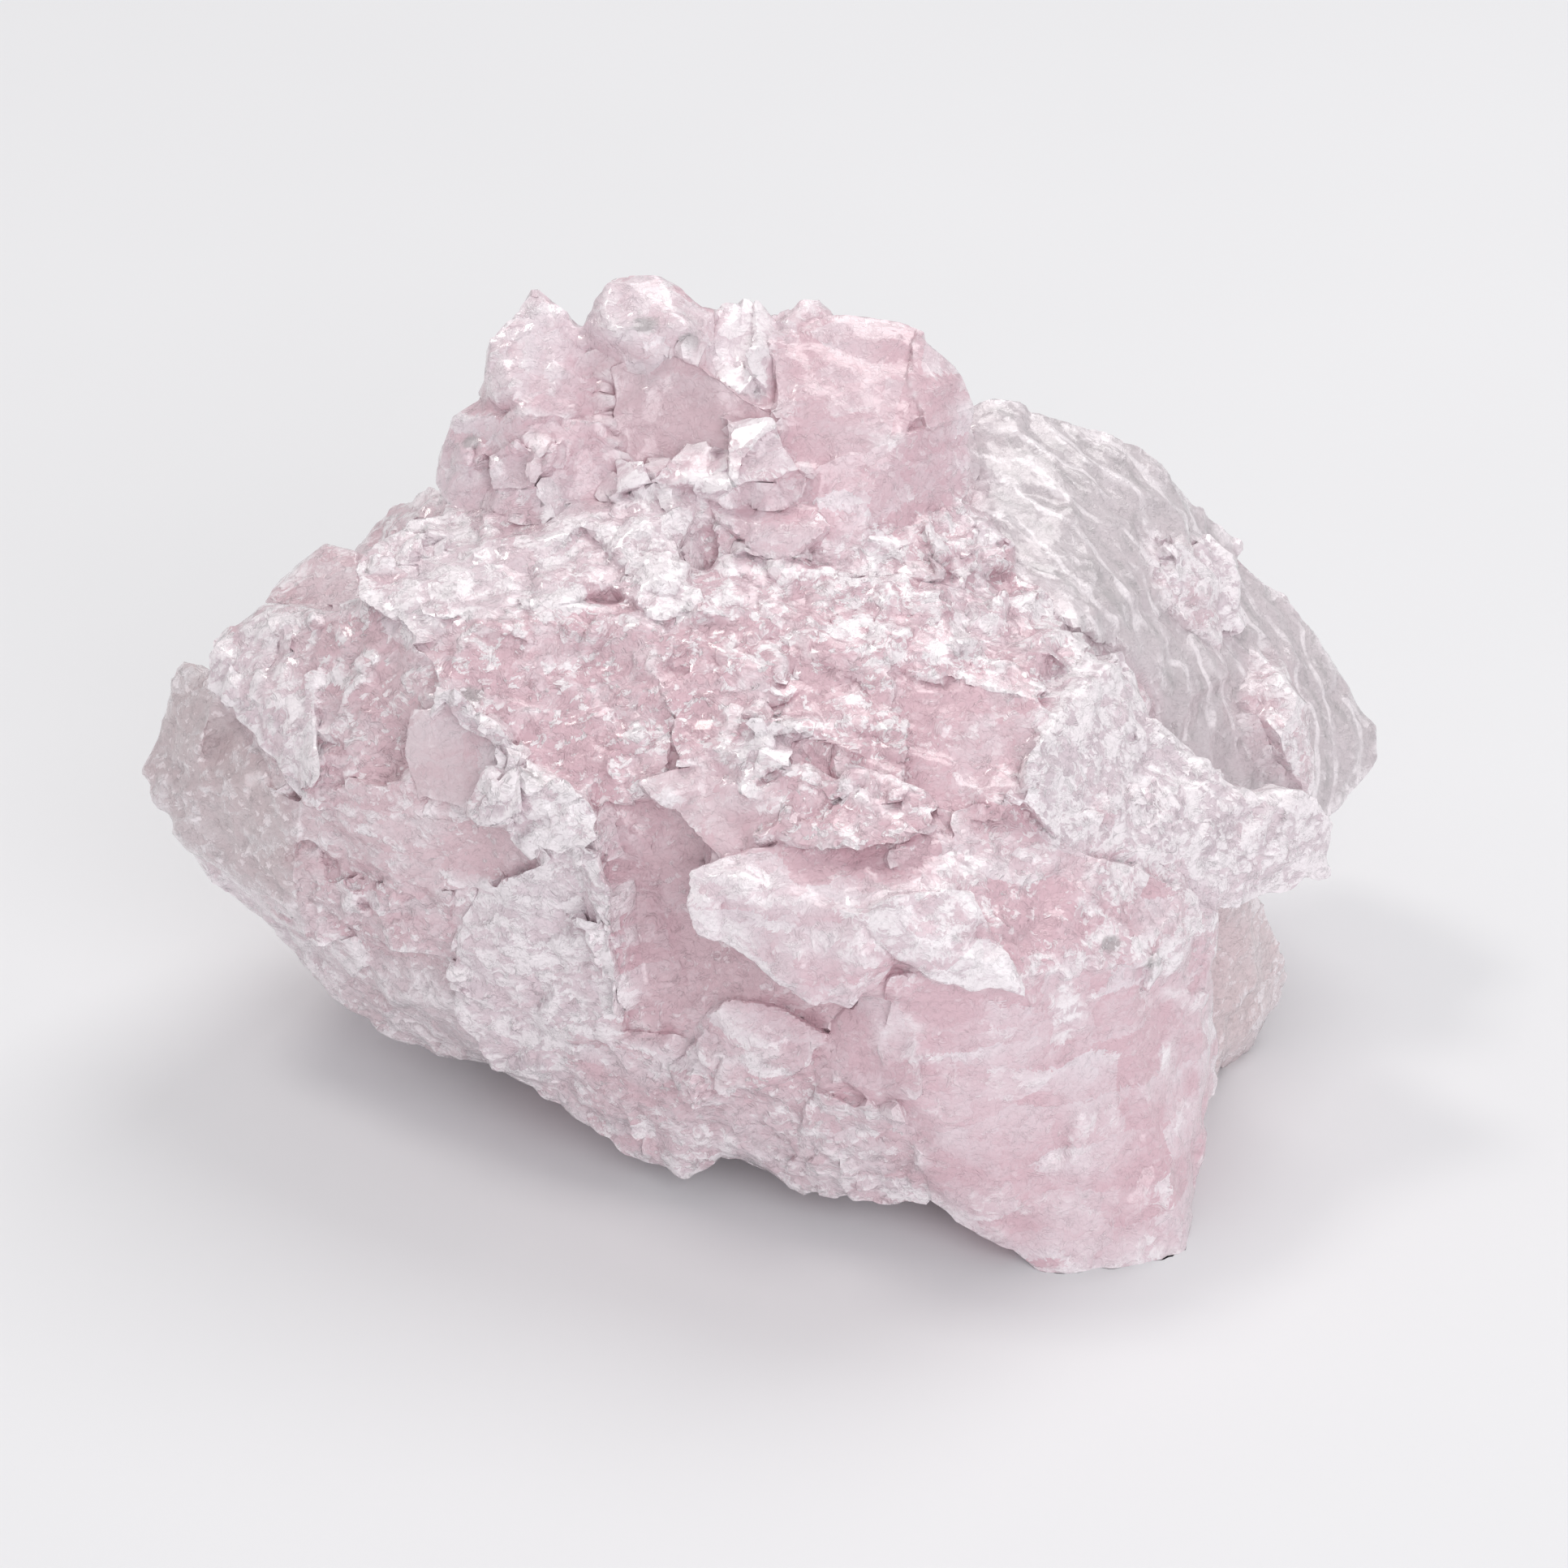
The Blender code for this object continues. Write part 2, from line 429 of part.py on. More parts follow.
# Smooth shell-like hollows: a point on the face, the way the face looks, the radius of
# the ball that shapes the hollow, and its depth.
HOLLOWS = (
    ((-3.5, 4.0, 36.0), (0.1, -0.85, 0.5), 13.0, 0.7),      # under the crown's knob
    ((9.5, -11.0, 24.5), (0.3, -0.75, 0.6), 16.0, 0.6),     # smooth end of the slope
    ((-5.0, -12.5, 18.0), (-0.3, -0.95, 0.1), 11.0, 0.8),   # recess over the nose
    ((2.0, -15.5, 21.5), (0.0, -0.5, 0.85), 9.0, 0.5),      # top of the nose
    ((16.0, -16.0, 8.0), (0.25, -0.95, 0.1), 30.0, 0.5),    # standing block
    ((18.0, 17.5, 16.0), (0.35, 0.9, 0.1), 15.0, 0.7),      # back, under the flank
    ((-19.0, 16.0, 17.0), (-0.5, 0.85, 0.1), 14.0, 0.8),    # back, behind the left end
)

# Pits: place, way in, width and depth.
PITS = (
    ((-14.2, -9.6, 26.8), (0.0, 0.8, -0.6), 1.8, 2.0),
    ((-11.1, -12.2, 24.0), (0.2, 0.8, -0.5), 1.5, 1.8),
    ((16.4, -10.6, 21.6), (0.0, 0.7, -0.7), 1.9, 1.2),
    ((-6.2, 3.4, 33.7), (0.0, 0.9, -0.3), 1.0, 1.2),
    ((-14.7, 4.2, 33.8), (0.2, 0.9, -0.2), 1.2, 1.0),
)

# The stone's own colour and gloss.
ROSE = (0.80, 0.60, 0.64, 1.0)
ROUGHNESS = 0.38


def clear_scene():
    """Empty the file of its objects."""
    for obj in list(bpy.data.objects):
        bpy.data.objects.remove(obj, do_unlink=True)


def new_collection(name):
    """A collection under the scene's own."""
    collection = bpy.data.collections.new(name)
    bpy.context.scene.collection.children.link(collection)
    return collection


def rose_stone():
    """Translucent pink quartz."""
    material = bpy.data.materials.new("rose_quartz")
    material.use_nodes = True
    shader = material.node_tree.nodes["Principled BSDF"]
    shader.inputs["Base Color"].default_value = ROSE
    shader.inputs["Roughness"].default_value = ROUGHNESS
    shader.inputs["Metallic"].default_value = 0.0
    shader.inputs["IOR"].default_value = 1.54
    material.diffuse_color = ROSE
    return material


def placed(point):
    """A corner in design units, as a point of the world."""
    return Vector((point[0] - CENTRE_X, point[1] - CENTRE_Y, point[2])) * UNIT


def middle(points):
    """Mean of some points."""
    return sum(points, Vector()) / len(points)


def inward(point):
    """The way from a broken face into the mass: away from the front, leaning to the heart."""
    to_heart = (HEART - point).normalized()
    return (AWAY * AWAY_SHARE + to_heart * (1.0 - AWAY_SHARE)).normalized()


def played(corner, chance):
    """A corner moved a little, as no break runs exactly to its neighbour's corner."""
    return Vector([value + chance.uniform(-CORNER_PLAY, CORNER_PLAY) for value in corner])


def block_corners(depth, taper, face, chance):
    """The corners of a face, and the same corners drawn in and moved into the mass."""
    front = [played(corner, chance) for corner in face]
    if depth == 0:
        return front
    centre = middle(front)
    run = inward(centre) * depth
    back = [centre + (corner - centre) * taper + run for corner in front]
    return front + back


def hull_object(name, points, collection):
    """The closed convex solid round some points of the design frame."""
    bm = bmesh.new()
    for point in points:
        bm.verts.new(placed(point))
    hull = bmesh.ops.convex_hull(bm, input=bm.verts)
    inner = [item for item in hull["geom_interior"] if isinstance(item, bmesh.types.BMVert)]
    bmesh.ops.delete(bm, geom=inner, context="VERTS")
    bmesh.ops.recalc_face_normals(bm, faces=bm.faces)
    mesh = bpy.data.meshes.new(name)
    bm.to_mesh(mesh)
    bm.free()
    obj = bpy.data.objects.new(name, mesh)
    collection.objects.link(obj)
    return obj


def set_as_guide(obj):
    """A shape that only joins or cuts another isn't shown itself."""
    obj.hide_render = True
    obj.display_type = "WIRE"


def growth_point(block, chance):
    """A point on a block's outer faces, chosen evenly by area, and the face's normal."""
    centre = middle([vertex.co for vertex in block.data.vertices])
    way_in = inward(centre / UNIT + Vector((CENTRE_X, CENTRE_Y, 0.0)))
    outer = [face for face in block.data.polygons if face.normal.dot(way_in) < -0.25]
    face = chance.choices(outer, weights=[face.area for face in outer])[0]
    shares = [chance.random() + 0.15 for _ in face.vertices]
    corners = [block.data.vertices[index].co * share for index, share in zip(face.vertices, shares)]
    return sum(corners, Vector()) / sum(shares), face.normal.copy()


def small_crystal(name, root, normal, size, chance, collection):
    """A low, sheared block of quartz, leaning on the face that it grows from, one corner gone."""
    turn = Matrix.Rotation(chance.uniform(0.0, math.tau), 3, "Z")
    lean = Matrix.Rotation(chance.gauss(0.0, 0.22), 3, "X") @ Matrix.Rotation(chance.gauss(0.0, 0.22), 3, "Y")
    upright = normal.to_track_quat("Z", "Y").to_matrix()
    half = Vector((size * chance.uniform(0.5, 0.8), size * chance.uniform(0.35, 0.55), size * 0.3))
    shear = chance.uniform(-0.3, 0.3) * size
    origin = root / UNIT + Vector((CENTRE_X, CENTRE_Y, 0.0))
    points = []
    for x, y, z in itertools.product((-1, 1), repeat=3):
        narrowing = 0.72 if z > 0 else 1.0
        gone = 0.5 if (x, y, z) == (1, 1, 1) else 1.0
        corner = Vector((half.x * x * narrowing * gone + shear * z * 0.5,
                         half.y * y * narrowing * gone, half.z * z))
        points.append(origin + upright @ turn @ lean @ corner)
    return hull_object(name, points, collection)


def back_block(name, number, chance, collection):
    """One coarse block of the broken back, its corners on a squat egg sunk into the shell."""
    spread = (number + 0.5) / BACK_BLOCKS
    angle = math.radians(BACK_ANGLES[0] + (BACK_ANGLES[1] - BACK_ANGLES[0]) * ((number * GOLDEN) % 1.0))
    rise = math.radians(BACK_RISES[0] + (BACK_RISES[1] - BACK_RISES[0]) * spread)
    way = Vector((math.cos(angle) * math.cos(rise), math.sin(angle) * math.cos(rise), math.sin(rise)))
    place = Vector([m + r * w for m, r, w in zip(BACK_SHELL_MIDDLE, BACK_SHELL_RADII, way)])
    upright = way.to_track_quat("Z", "Y").to_matrix()
    turn = Matrix.Rotation(chance.uniform(0.0, math.tau), 3, "Z")
    size = BACK_BLOCK_SIZE * chance.uniform(0.75, 1.3)
    points = []
    for corner in range(13):
        level = 1.0 - 2.0 * (corner + 0.5) / 13
        round_it = math.tau * GOLDEN * corner
        ring = math.sqrt(1.0 - level * level)
        point = Vector((ring * math.cos(round_it) * 1.25, ring * math.sin(round_it) * 0.85, level * 0.55))
        points.append(place + upright @ turn @ (point * size * chance.uniform(0.8, 1.1)))
    return hull_object(name, points, collection)


def hollow_cutter(name, place, looks, radius, depth, collection):
    """A ball that dips into a face by the hollow's depth."""
    outward = Vector(looks).normalized()
    centre = placed(Vector(place) + outward * (radius - depth))
    bpy.ops.mesh.primitive_uv_sphere_add(segments=16, ring_count=10, radius=radius * UNIT, location=centre)
    cutter = bpy.context.active_object
    cutter.name = name
    for owner in list(cutter.users_collection):
        owner.objects.unlink(cutter)
    collection.objects.link(cutter)
    return cutter


def pit_cutter(name, place, way_in, width, depth, collection):
    """A blunt five-sided spike that leaves an angular pit."""
    axis = Vector(way_in).normalized()
    across = axis.orthogonal().normalized()
    centre = Vector(place)
    points = [centre + axis * depth]
    for step in range(5):
        side = Matrix.Rotation(math.tau * step / 5, 3, axis) @ across
        points.append(centre + side * width * (0.42 + 0.12 * (step % 2)) + axis * depth * 0.4)
        points.append(centre + side * width * 0.6 - axis * depth)
    return hull_object(name, points, collection)


def floor_cutter(collection):
    """A box under the piece, whose top is the plane that it rests on."""
    size = LENGTH * 2.0
    bpy.ops.mesh.primitive_cube_add(size=size, location=(0.0, 0.0, -size / 2.0))
    cutter = bpy.context.active_object
    cutter.name = "flat_base"
    for owner in list(cutter.users_collection):
        owner.objects.unlink(cutter)
    collection.objects.link(cutter)
    return cutter


def boolean(obj, name, operation, collection):
    """Join or cut with everything in a collection."""
    modifier = obj.modifiers.new(name, "BOOLEAN")
    modifier.operation = operation
    modifier.operand_type = "COLLECTION"
    modifier.collection = collection
    modifier.solver = "EXACT"


def shells(bm):
    """The faces of each closed shell of a mesh."""
    unseen = set(bm.faces)
    found = []
    while unseen:
        front = [unseen.pop()]
        shell = list(front)
        while front:
            face = front.pop()
            for edge in face.edges:
                for neighbour in edge.link_faces:
                    if neighbour in unseen:
                        unseen.remove(neighbour)
                        front.append(neighbour)
                        shell.append(neighbour)
        found.append(shell)
    return found


def fix_as_solid(obj):
    """Take the joined and cut shape as the object's mesh, and fill the gaps sealed inside it."""
    depsgraph = bpy.context.evaluated_depsgraph_get()
    mesh = bpy.data.meshes.new_from_object(obj.evaluated_get(depsgraph))
    bm = bmesh.new()
    bm.from_mesh(mesh)
    parts = sorted(shells(bm), key=len)
    sealed = [face for shell in parts[:-1] for face in shell]
    bmesh.ops.delete(bm, geom=sealed, context="FACES")
    bm.to_mesh(mesh)
    bm.free()
    obj.modifiers.clear()
    obj.data = mesh
    mesh.name = obj.name


def main():
    """Build the blocks, grow the crystals, and join and cut them into one solid."""
    clear_scene()
    shown = new_collection("rose_quartz")
    blocks = new_collection("blocks")
    crystals = new_collection("small_crystals")
    cutters = new_collection("cutters")

    piece = None
    by_name = {}
    chance = random.Random(CORNER_SEED)
    for name, depth, taper, face in ALL_BLOCKS:
        where = shown if piece is None else blocks
        block = hull_object(name, block_corners(depth, taper, face, chance), where)
        by_name[name] = block
        if piece is None:
            piece = block
        else:
            set_as_guide(block)

    chance = random.Random(CRYSTAL_SEED)
    for name, count, size in ROUGH_ZONES:
        for number in range(count):
            root, normal = growth_point(by_name[name], chance)
            grown = chance.uniform(0.7, 1.3) * size
            crystal = small_crystal(f"{name}_crystal_{number}", root, normal, grown, chance, crystals)
            set_as_guide(crystal)

    chance = random.Random(BACK_SEED)
    for number in range(BACK_BLOCKS):
        set_as_guide(back_block(f"back_block_{number}", number, chance, blocks))

    for number, (place, looks, radius, depth) in enumerate(HOLLOWS):
        set_as_guide(hollow_cutter(f"hollow_{number}", place, looks, radius, depth, cutters))
    for number, (place, way_in, width, depth) in enumerate(PITS):
        set_as_guide(pit_cutter(f"pit_{number}", place, way_in, width, depth, cutters))
    set_as_guide(floor_cutter(cutters))

    piece.name = "rose_quartz_crystal"
    piece.data.name = "rose_quartz_crystal"
    piece.data.materials.append(rose_stone())
    boolean(piece, "join_blocks", "UNION", blocks)
    boolean(piece, "join_crystals", "UNION", crystals)
    boolean(piece, "cut_hollows", "DIFFERENCE", cutters)
    fix_as_solid(piece)


main()
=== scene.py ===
"""Rose quartz crystal: the finished surface of one rough hand piece.

The stone is made of broken blocks. A block is a surface of two angles, cut by flat
facets. The blocks are joined into one skin, and the skin is pressed onto their facets
and broken again into small cleavage faces, shell-like hollows and grain.
"""
import itertools
import math
import random
import bmesh
import bpy
import numpy as np
from mathutils import Matrix, Vector


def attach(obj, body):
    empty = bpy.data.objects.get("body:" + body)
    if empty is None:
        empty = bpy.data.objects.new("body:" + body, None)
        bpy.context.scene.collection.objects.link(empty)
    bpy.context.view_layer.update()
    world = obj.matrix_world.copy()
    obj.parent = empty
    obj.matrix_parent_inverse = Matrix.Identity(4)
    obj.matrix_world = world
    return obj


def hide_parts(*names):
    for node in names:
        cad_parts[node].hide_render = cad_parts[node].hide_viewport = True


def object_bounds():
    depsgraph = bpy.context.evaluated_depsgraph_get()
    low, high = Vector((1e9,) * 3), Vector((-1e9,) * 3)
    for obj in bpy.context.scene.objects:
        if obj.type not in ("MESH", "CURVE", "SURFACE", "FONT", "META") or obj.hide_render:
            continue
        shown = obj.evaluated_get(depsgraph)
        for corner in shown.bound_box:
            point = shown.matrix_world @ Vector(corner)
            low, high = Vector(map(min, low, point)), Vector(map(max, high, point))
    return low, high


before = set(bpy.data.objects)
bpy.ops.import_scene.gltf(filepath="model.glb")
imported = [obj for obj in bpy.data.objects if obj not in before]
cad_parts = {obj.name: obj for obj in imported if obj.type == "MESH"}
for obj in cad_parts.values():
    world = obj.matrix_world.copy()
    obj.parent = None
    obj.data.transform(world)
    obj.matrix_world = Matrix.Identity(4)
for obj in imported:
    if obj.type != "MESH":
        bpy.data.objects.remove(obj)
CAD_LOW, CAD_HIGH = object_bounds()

MM = 0.001
CENTRE = np.array((0.05, 0.16, 0.0))        # this point of the corners' frame is over the origin
HEART = np.array((0.0, 9.0, 14.0))          # the point that the blocks grow from
AWAY = np.array((0.0, 0.866, -0.5))         # the way that the broken front faces away
AWAY_SHARE = 0.7                            # the rest of a block's run goes to the heart
GRAIN = np.array((0.30, 0.45, 0.55))        # across the way that the terraces' blades run
CORNER_PLAY = 0.12                          # how far chance moves a corner, in millimetres
GOLDEN = (math.sqrt(5.0) - 1.0) / 2.0

# Each block: its name, its finish, the depth that it runs into the mass, the share of its
# width at the far end, and the corners of its broken face in millimetres. Depth 0 means
# that the corners are the whole block.
BLOCKS = (
    ("core", "mass", 0, 1, (
        (-14, 6, 29), (9, 9, 31), (10, 2.5, 26.5), (-20, 0, 25), (-10, -8, 19), (10, -10, 20),
        (19, 0, 21.5), (24, 12, 16), (-24, 4, 19), (-21, -3, 12), (-13, -3, 3.5), (6, -11, 1),
        (16, -9, -1), (20, 4, -1), (12, 15, -1), (-8, 13, -1), (-17, 5, 1.5), (-16, 15, 20),
        (8, 17.5, 24), (15, 17, 9), (-18, 13, 11))),
    ("core_slope", "slope", 10, 0.92, (
        (-19, 2.5, 28), (-15.5, 5, 29.5), (-3, 4, 30.5), (10, 5, 29.5), (14.5, 2, 25.5),
        (13.5, -5.5, 25.5), (11.5, -12, 22.5), (6, -12, 21.5), (0, -11.5, 23), (-8, -10.5, 22.5),
        (-15, -6, 25.5), (-19, -1.5, 27.5))),
    ("core_front", "heart", 10, 0.9, (
        (-23, -3, 17), (-13.5, -8, 19), (-8, -10.5, 19), (2, -12.5, 18), (5.5, -15.5, 13),
        (5.5, -15.5, 6), (-2, -12, 4), (-7.5, -9.5, 3.5), (-12.5, -6.5, 4.5), (-17, -3, 3.5),
        (-23, 0, 6.5))),
    ("core_right", "front_block", 10, 0.9, (
        (6.5, -13.5, 20.5), (14, -10.5, 19), (20, -8, 15), (21.5, -9, 7), (20, -14.5, -1),
        (14.5, -16.5, -0.5), (8, -15.5, 2.5), (6, -16.5, 11.5))),
    ("core_flank", "flank", 8, 0.9, (
        (11, 12, 29.5), (16.5, 13.5, 29), (21, 13, 26.5), (28, 12, 18), (30.5, 9.5, 13.5),
        (29, 6.5, 12), (23, 3, 15.5), (18.5, 3, 21.5), (13.5, 4, 26))),
    ("back_left", "back", 0, 1, (
        (-26, 6, 20), (-27, 10, 14), (-24, 13, 9), (-18, 17, 11), (-12, 18.5, 17), (-13, 16, 25),
        (-20, 9, 25), (-17, 10, 5), (-10, 14, 7))),
    ("back_mid", "back", 0, 1, (
        (-10, 18, 9), (-12, 17, 20), (-5, 19.5, 22), (4, 20, 19), (6, 18.5, 8), (-4, 17.5, 3.5),
        (-8, 10, 24), (4, 12, 25), (0, 10, 4))),
    ("back_high", "back", 0, 1, (
        (-15, 10, 27), (-10, 14, 29.5), (0, 15, 31.5), (9, 16.5, 29), (13, 18, 26), (5, 19, 24),
        (-8, 17, 24.5), (-16, 14, 22), (0, 8, 28), (10, 8, 28))),
    ("back_right", "back", 0, 1, (
        (5, 17, 23), (14, 19, 25), (22, 18, 21), (25, 17, 15), (19, 17.5, 7), (10, 18, 9), (6, 14, 12),
        (18, 8, 20), (16, 8, 6))),
    ("front_footing", "front_block", 0, 1, (
        (20, -15, -1), (14, -16, -1), (20, -5, -1), (8, -5, -1), (20, -5, 12), (8, -5, 12),
        (19, -11, 14))),
    ("back_crown", "back", 0, 1, (
        (-15, 10, 30), (-13, 12, 34), (-9, 13, 34), (-6, 13.5, 37), (-2, 14, 36.5), (1, 14, 35.5),
        (7, 13.5, 35.5), (10, 12, 32.5), (11, 16, 27), (-12, 16, 27), (0, 17.5, 29), (0, 6, 32))),
    ("nub_root", "nub", 0, 1, (
        (18, 8, 12), (21, 8, -1), (16, 8, -1), (16, -4, 2), (23, 3, -1), (24, 4, 6), (20, -3, 12))),
    ("back_foot", "back", 0, 1, (
        (-9, 15, 7), (0, 17.5, 5), (10, 17.5, 7), (14, 14, 3), (13, 12, -1), (-7, 12, -1), (-12, 8, 1),
        (0, 8, 8))),
    ("crown_core", "crown", 10, 0.8, (
        (-15, 8, 32), (-14, 10, 34.5), (-11.5, 10, 35.5), (-6.5, 12, 35.5), (0.5, 12, 35.5),
        (4.5, 12, 36), (8.5, 11, 35), (10, 10, 32.5), (9.5, 6, 30.5), (2, 4, 31.5), (-3, 4.5, 31.5),
        (-10, 5, 31), (-15.5, 6, 30.5))),
    ("crown_spike", "crown", 7, 0.75, (
        (-14.5, 8, 35), (-13.5, 8, 38), (-12.5, 8.5, 39), (-11.5, 9, 39.5), (-10, 9, 38), (-8, 8, 37),
        (-7.5, 6, 35), (-10, 4.5, 35.5), (-12, 4.5, 35.5), (-14, 6, 35))),
    ("crown_left", "crown", 8, 0.8, (
        (-16.5, 6.5, 32), (-15.5, 6, 34.5), (-14.5, 7, 35), (-12, 4.5, 35.5), (-8, 4.5, 35),
        (-7, 3.5, 32.5), (-10, 3, 31.5), (-15.5, 4, 30.5), (-16.5, 5.5, 31))),
    ("crown_left_crystal", "crown", 4, 0.8, (
        (-14, 4, 33.5), (-12, 3.5, 35), (-10.5, 3, 33.5), (-11.5, 2, 32.5), (-13.5, 3, 32))),
    ("crown_left_flake", "white_prism", 4, 0.7, (
        (-7.5, 3.5, 33.5), (-6, 3, 34), (-5.5, 2, 33), (-7.5, 2, 32.5))),
    ("crown_knob", "crown", 6, 0.8, (
        (-9, 8, 37.5), (-9, 8.5, 38.5), (-8.5, 9, 39.5), (-7.5, 9.5, 40.5), (-6.5, 10, 40.5),
        (-5.5, 10, 40.5), (-3, 9, 39), (-2.5, 7, 38), (-6, 6, 38), (-8, 7, 37.5), (-8, 7, 39.5),
        (-4, 6.5, 39.5))),
    ("crown_face", "dusky", 8, 0.85, (
        (-8, 6.5, 37.5), (-6, 6.5, 38.5), (-3, 5.5, 38.5), (0.5, 4.5, 36), (0.5, 3.5, 34.5),
        (-2, 3, 34), (-7, 4, 33.5), (-8, 5, 35.5))),
    ("crown_prism_1", "white_prism", 5, 0.8, (
        (-2.5, 9.5, 38.5), (-2, 10, 39), (-1.5, 10, 39), (-1.5, 7, 37), (-2.5, 7.5, 37.5))),
    ("crown_prism_2", "white_prism", 5, 0.8, (
        (-1.5, 10.5, 38.5), (-1, 10.5, 39), (-0.5, 10.5, 38.5), (-0.5, 6.5, 37), (-1.5, 7, 37))),
    ("crown_prism_3", "white_prism", 5, 0.8, (
        (-0.5, 10, 39), (0, 10, 38.5), (0.5, 9.5, 38), (0.5, 5.5, 35.5), (-1, 6, 37.5))),
    ("crown_nub", "crown", 5, 0.8, (
        (0.5, 10, 38), (1.5, 10.5, 39), (2.5, 10.5, 39), (3, 10.5, 38.5), (3, 10, 37.5), (2, 7, 37),
        (0.5, 7.5, 37))),
    ("crown_right", "smooth_pink", 8, 0.8, (
        (0.5, 8, 38), (3, 9.5, 38.5), (4.5, 10, 38), (6.5, 10, 38), (8, 9.5, 37.5), (8.5, 9, 37),
        (8.5, 7, 35.5), (6.5, 3.5, 34.5), (2.5, 2.5, 33.5), (0.5, 4.5, 36))),
    ("crown_right_step", "smooth_pink", 7, 0.8, (
        (7.5, 9, 38), (9, 9, 36.5), (9.5, 8.5, 36), (10, 8, 35), (10.5, 7.5, 34.5), (8, 4.5, 34.5),
        (7, 6.5, 36.5))),
    ("crown_right_low", "low_crown", 8, 0.85, (
        (2.5, 2.5, 34), (6.5, 3.5, 34.5), (10.5, 7.5, 34.5), (10, 5.5, 31), (9.5, 4.5, 30), (6, 1, 29),
        (2.5, 0, 29.5), (1.5, 2, 32.5))),
    ("crown_blade", "pale_blade", 5, 0.75, (
        (-2, 4, 35.5), (0, 3.5, 36), (0.5, 3, 35), (2, 1.5, 34), (0.5, 1, 33.5), (-1.5, 1.5, 33.5))),
    ("crown_fold", "pale_blade", 5, 0.8, (
        (-5.5, 2, 33.5), (-4.5, 3.5, 34), (-3, 3.5, 34), (-3, 2, 33), (-4, 1.5, 33), (-5.5, 2, 32.5))),
    ("crown_sill", "white_prism", 4, 0.8, (
        (-3.5, 1.5, 32.5), (-3.5, 2, 33), (-1, 2, 33.5), (-0.5, 1.5, 33.5), (-2.5, 1, 32.5))),
    ("saddle", "low_crown", 6, 0.9, (
        (-3, 2, 32), (2, 2.5, 32.5), (3, 0, 31.5), (0.5, -1, 30), (-2.5, 0.5, 31.5))),
    ("shelf", "shelf", 9, 0.9, (
        (-16, 4, 30.5), (-10, 4, 31), (-3, 2.5, 32.5), (-4, 0.5, 31), (-5.5, -1.5, 30),
        (-9.5, -4, 29.5), (-14, -5, 29), (-16.5, -4, 29), (-17.5, -0.5, 30))),
    ("shelf_corner", "shelf", 7, 0.8, (
        (-20.5, -0.5, 29.5), (-20, 0.5, 30), (-18.5, 2, 30), (-16, 3.5, 30.5), (-13.5, -0.5, 30),
        (-15, -6, 28), (-17.5, -5, 28.5), (-20, -3, 29))),
    ("shelf_block", "white_prism", 4, 0.8, (
        (-10, 1, 31), (-8.5, 2, 31), (-7, 1.5, 31), (-7, -0.5, 30), (-8.5, -1.5, 30),
        (-9, -0.5, 30.5))),
    ("shelf_lip", "shelf", 5, 0.8, (
        (-7.5, 0, 30.5), (-6, 0.5, 31), (-4.5, 0.5, 31), (-3.5, -4, 29.5), (-5, -5, 29),
        (-6, -4.5, 29.5), (-5.5, -2, 30.5), (-8, -2.5, 30), (-8.5, -1.5, 30))),
    ("terrace_1", "terrace", 7, 0.85, (
        (-2.5, 1, 31), (2, 1.5, 31), (7, 2.5, 30.5), (10, 5, 30.5), (12, 3, 28), (10, 0, 28),
        (4, -1, 29), (-2, -1, 29.5))),
    ("terrace_2", "terrace", 7, 0.85, (
        (-4, -3, 29.5), (-2, -1, 30), (5.5, -1.5, 29.5), (12, 2, 28), (15, 0, 26.5), (14, -3, 26.5),
        (6, -4, 28), (0.5, -5, 28), (-3.5, -4.5, 28.5))),
    ("terrace_3", "terrace", 7, 0.85, (
        (0, -3.5, 29), (2, -3, 29), (6, -5.5, 28), (14, -2, 27), (15.5, -1, 25.5), (13.5, -7, 26),
        (7.5, -7, 27.5), (5, -6.5, 27.5), (1.5, -5.5, 28))),
    ("terrace_flap", "terrace", 4, 0.7, (
        (6.5, 0.5, 29.5), (8, 2, 30), (11, 2.5, 29), (12, 2, 28.5), (9.5, 0, 29))),
    ("slope_left", "slope", 8, 0.85, (
        (-17.5, -4.5, 28.5), (-14, -5, 29), (-6, -3.5, 29.5), (-4.5, -6, 28.5), (-5, -11, 24),
        (-8, -12, 22.5), (-11.5, -10, 24.5), (-15.5, -7.5, 26.5))),
    ("slope_mid", "slope", 8, 0.85, (
        (-7, -4, 29.5), (0.5, -5, 28.5), (5.5, -6, 28), (7, -10, 25.5), (6, -13.5, 23), (0, -13, 23.5),
        (-3.5, -11.5, 24.5))),
    ("slope_right", "glassy_slope", 8, 0.85, (
        (5.5, -5.5, 28), (13.5, -7.5, 26.5), (14, -8, 25.5), (12, -11, 24.5), (12, -13.5, 23),
        (6, -14, 22), (6, -9.5, 25.5))),
    ("slope_knob", "terrace", 5, 0.75, (
        (-3, -9, 26), (-1, -8.5, 26.5), (1.5, -10, 26), (1, -12, 25), (-1.5, -12.5, 24),
        (-3, -11, 25))),
    ("slope_ridge", "slope", 5, 0.75, (
        (-0.5, -13, 23.5), (2, -12, 25), (6, -12.5, 24.5), (8.5, -13.5, 23.5), (6, -15, 23),
        (2, -15, 22.5), (0, -14.5, 22.5))),
    ("left_block", "left", 9, 0.8, (
        (-28, 2, 24), (-25, 3, 25.5), (-20.5, -1.5, 28), (-16.5, -5.5, 28), (-15.5, -7, 26.5),
        (-13.5, -9, 24), (-14, -10.5, 21), (-23, -6, 19), (-25.5, -2, 21))),
    ("left_inner", "left", 9, 0.9, (
        (-25, -2.5, 17.5), (-23, -5, 19), (-14.5, -9.5, 21), (-13.5, -9, 16), (-15.5, -8, 11),
        (-22.5, -4.5, 10.5), (-25.5, -2, 11.5))),
    ("left_cheek", "cheek", 7, 0.85, (
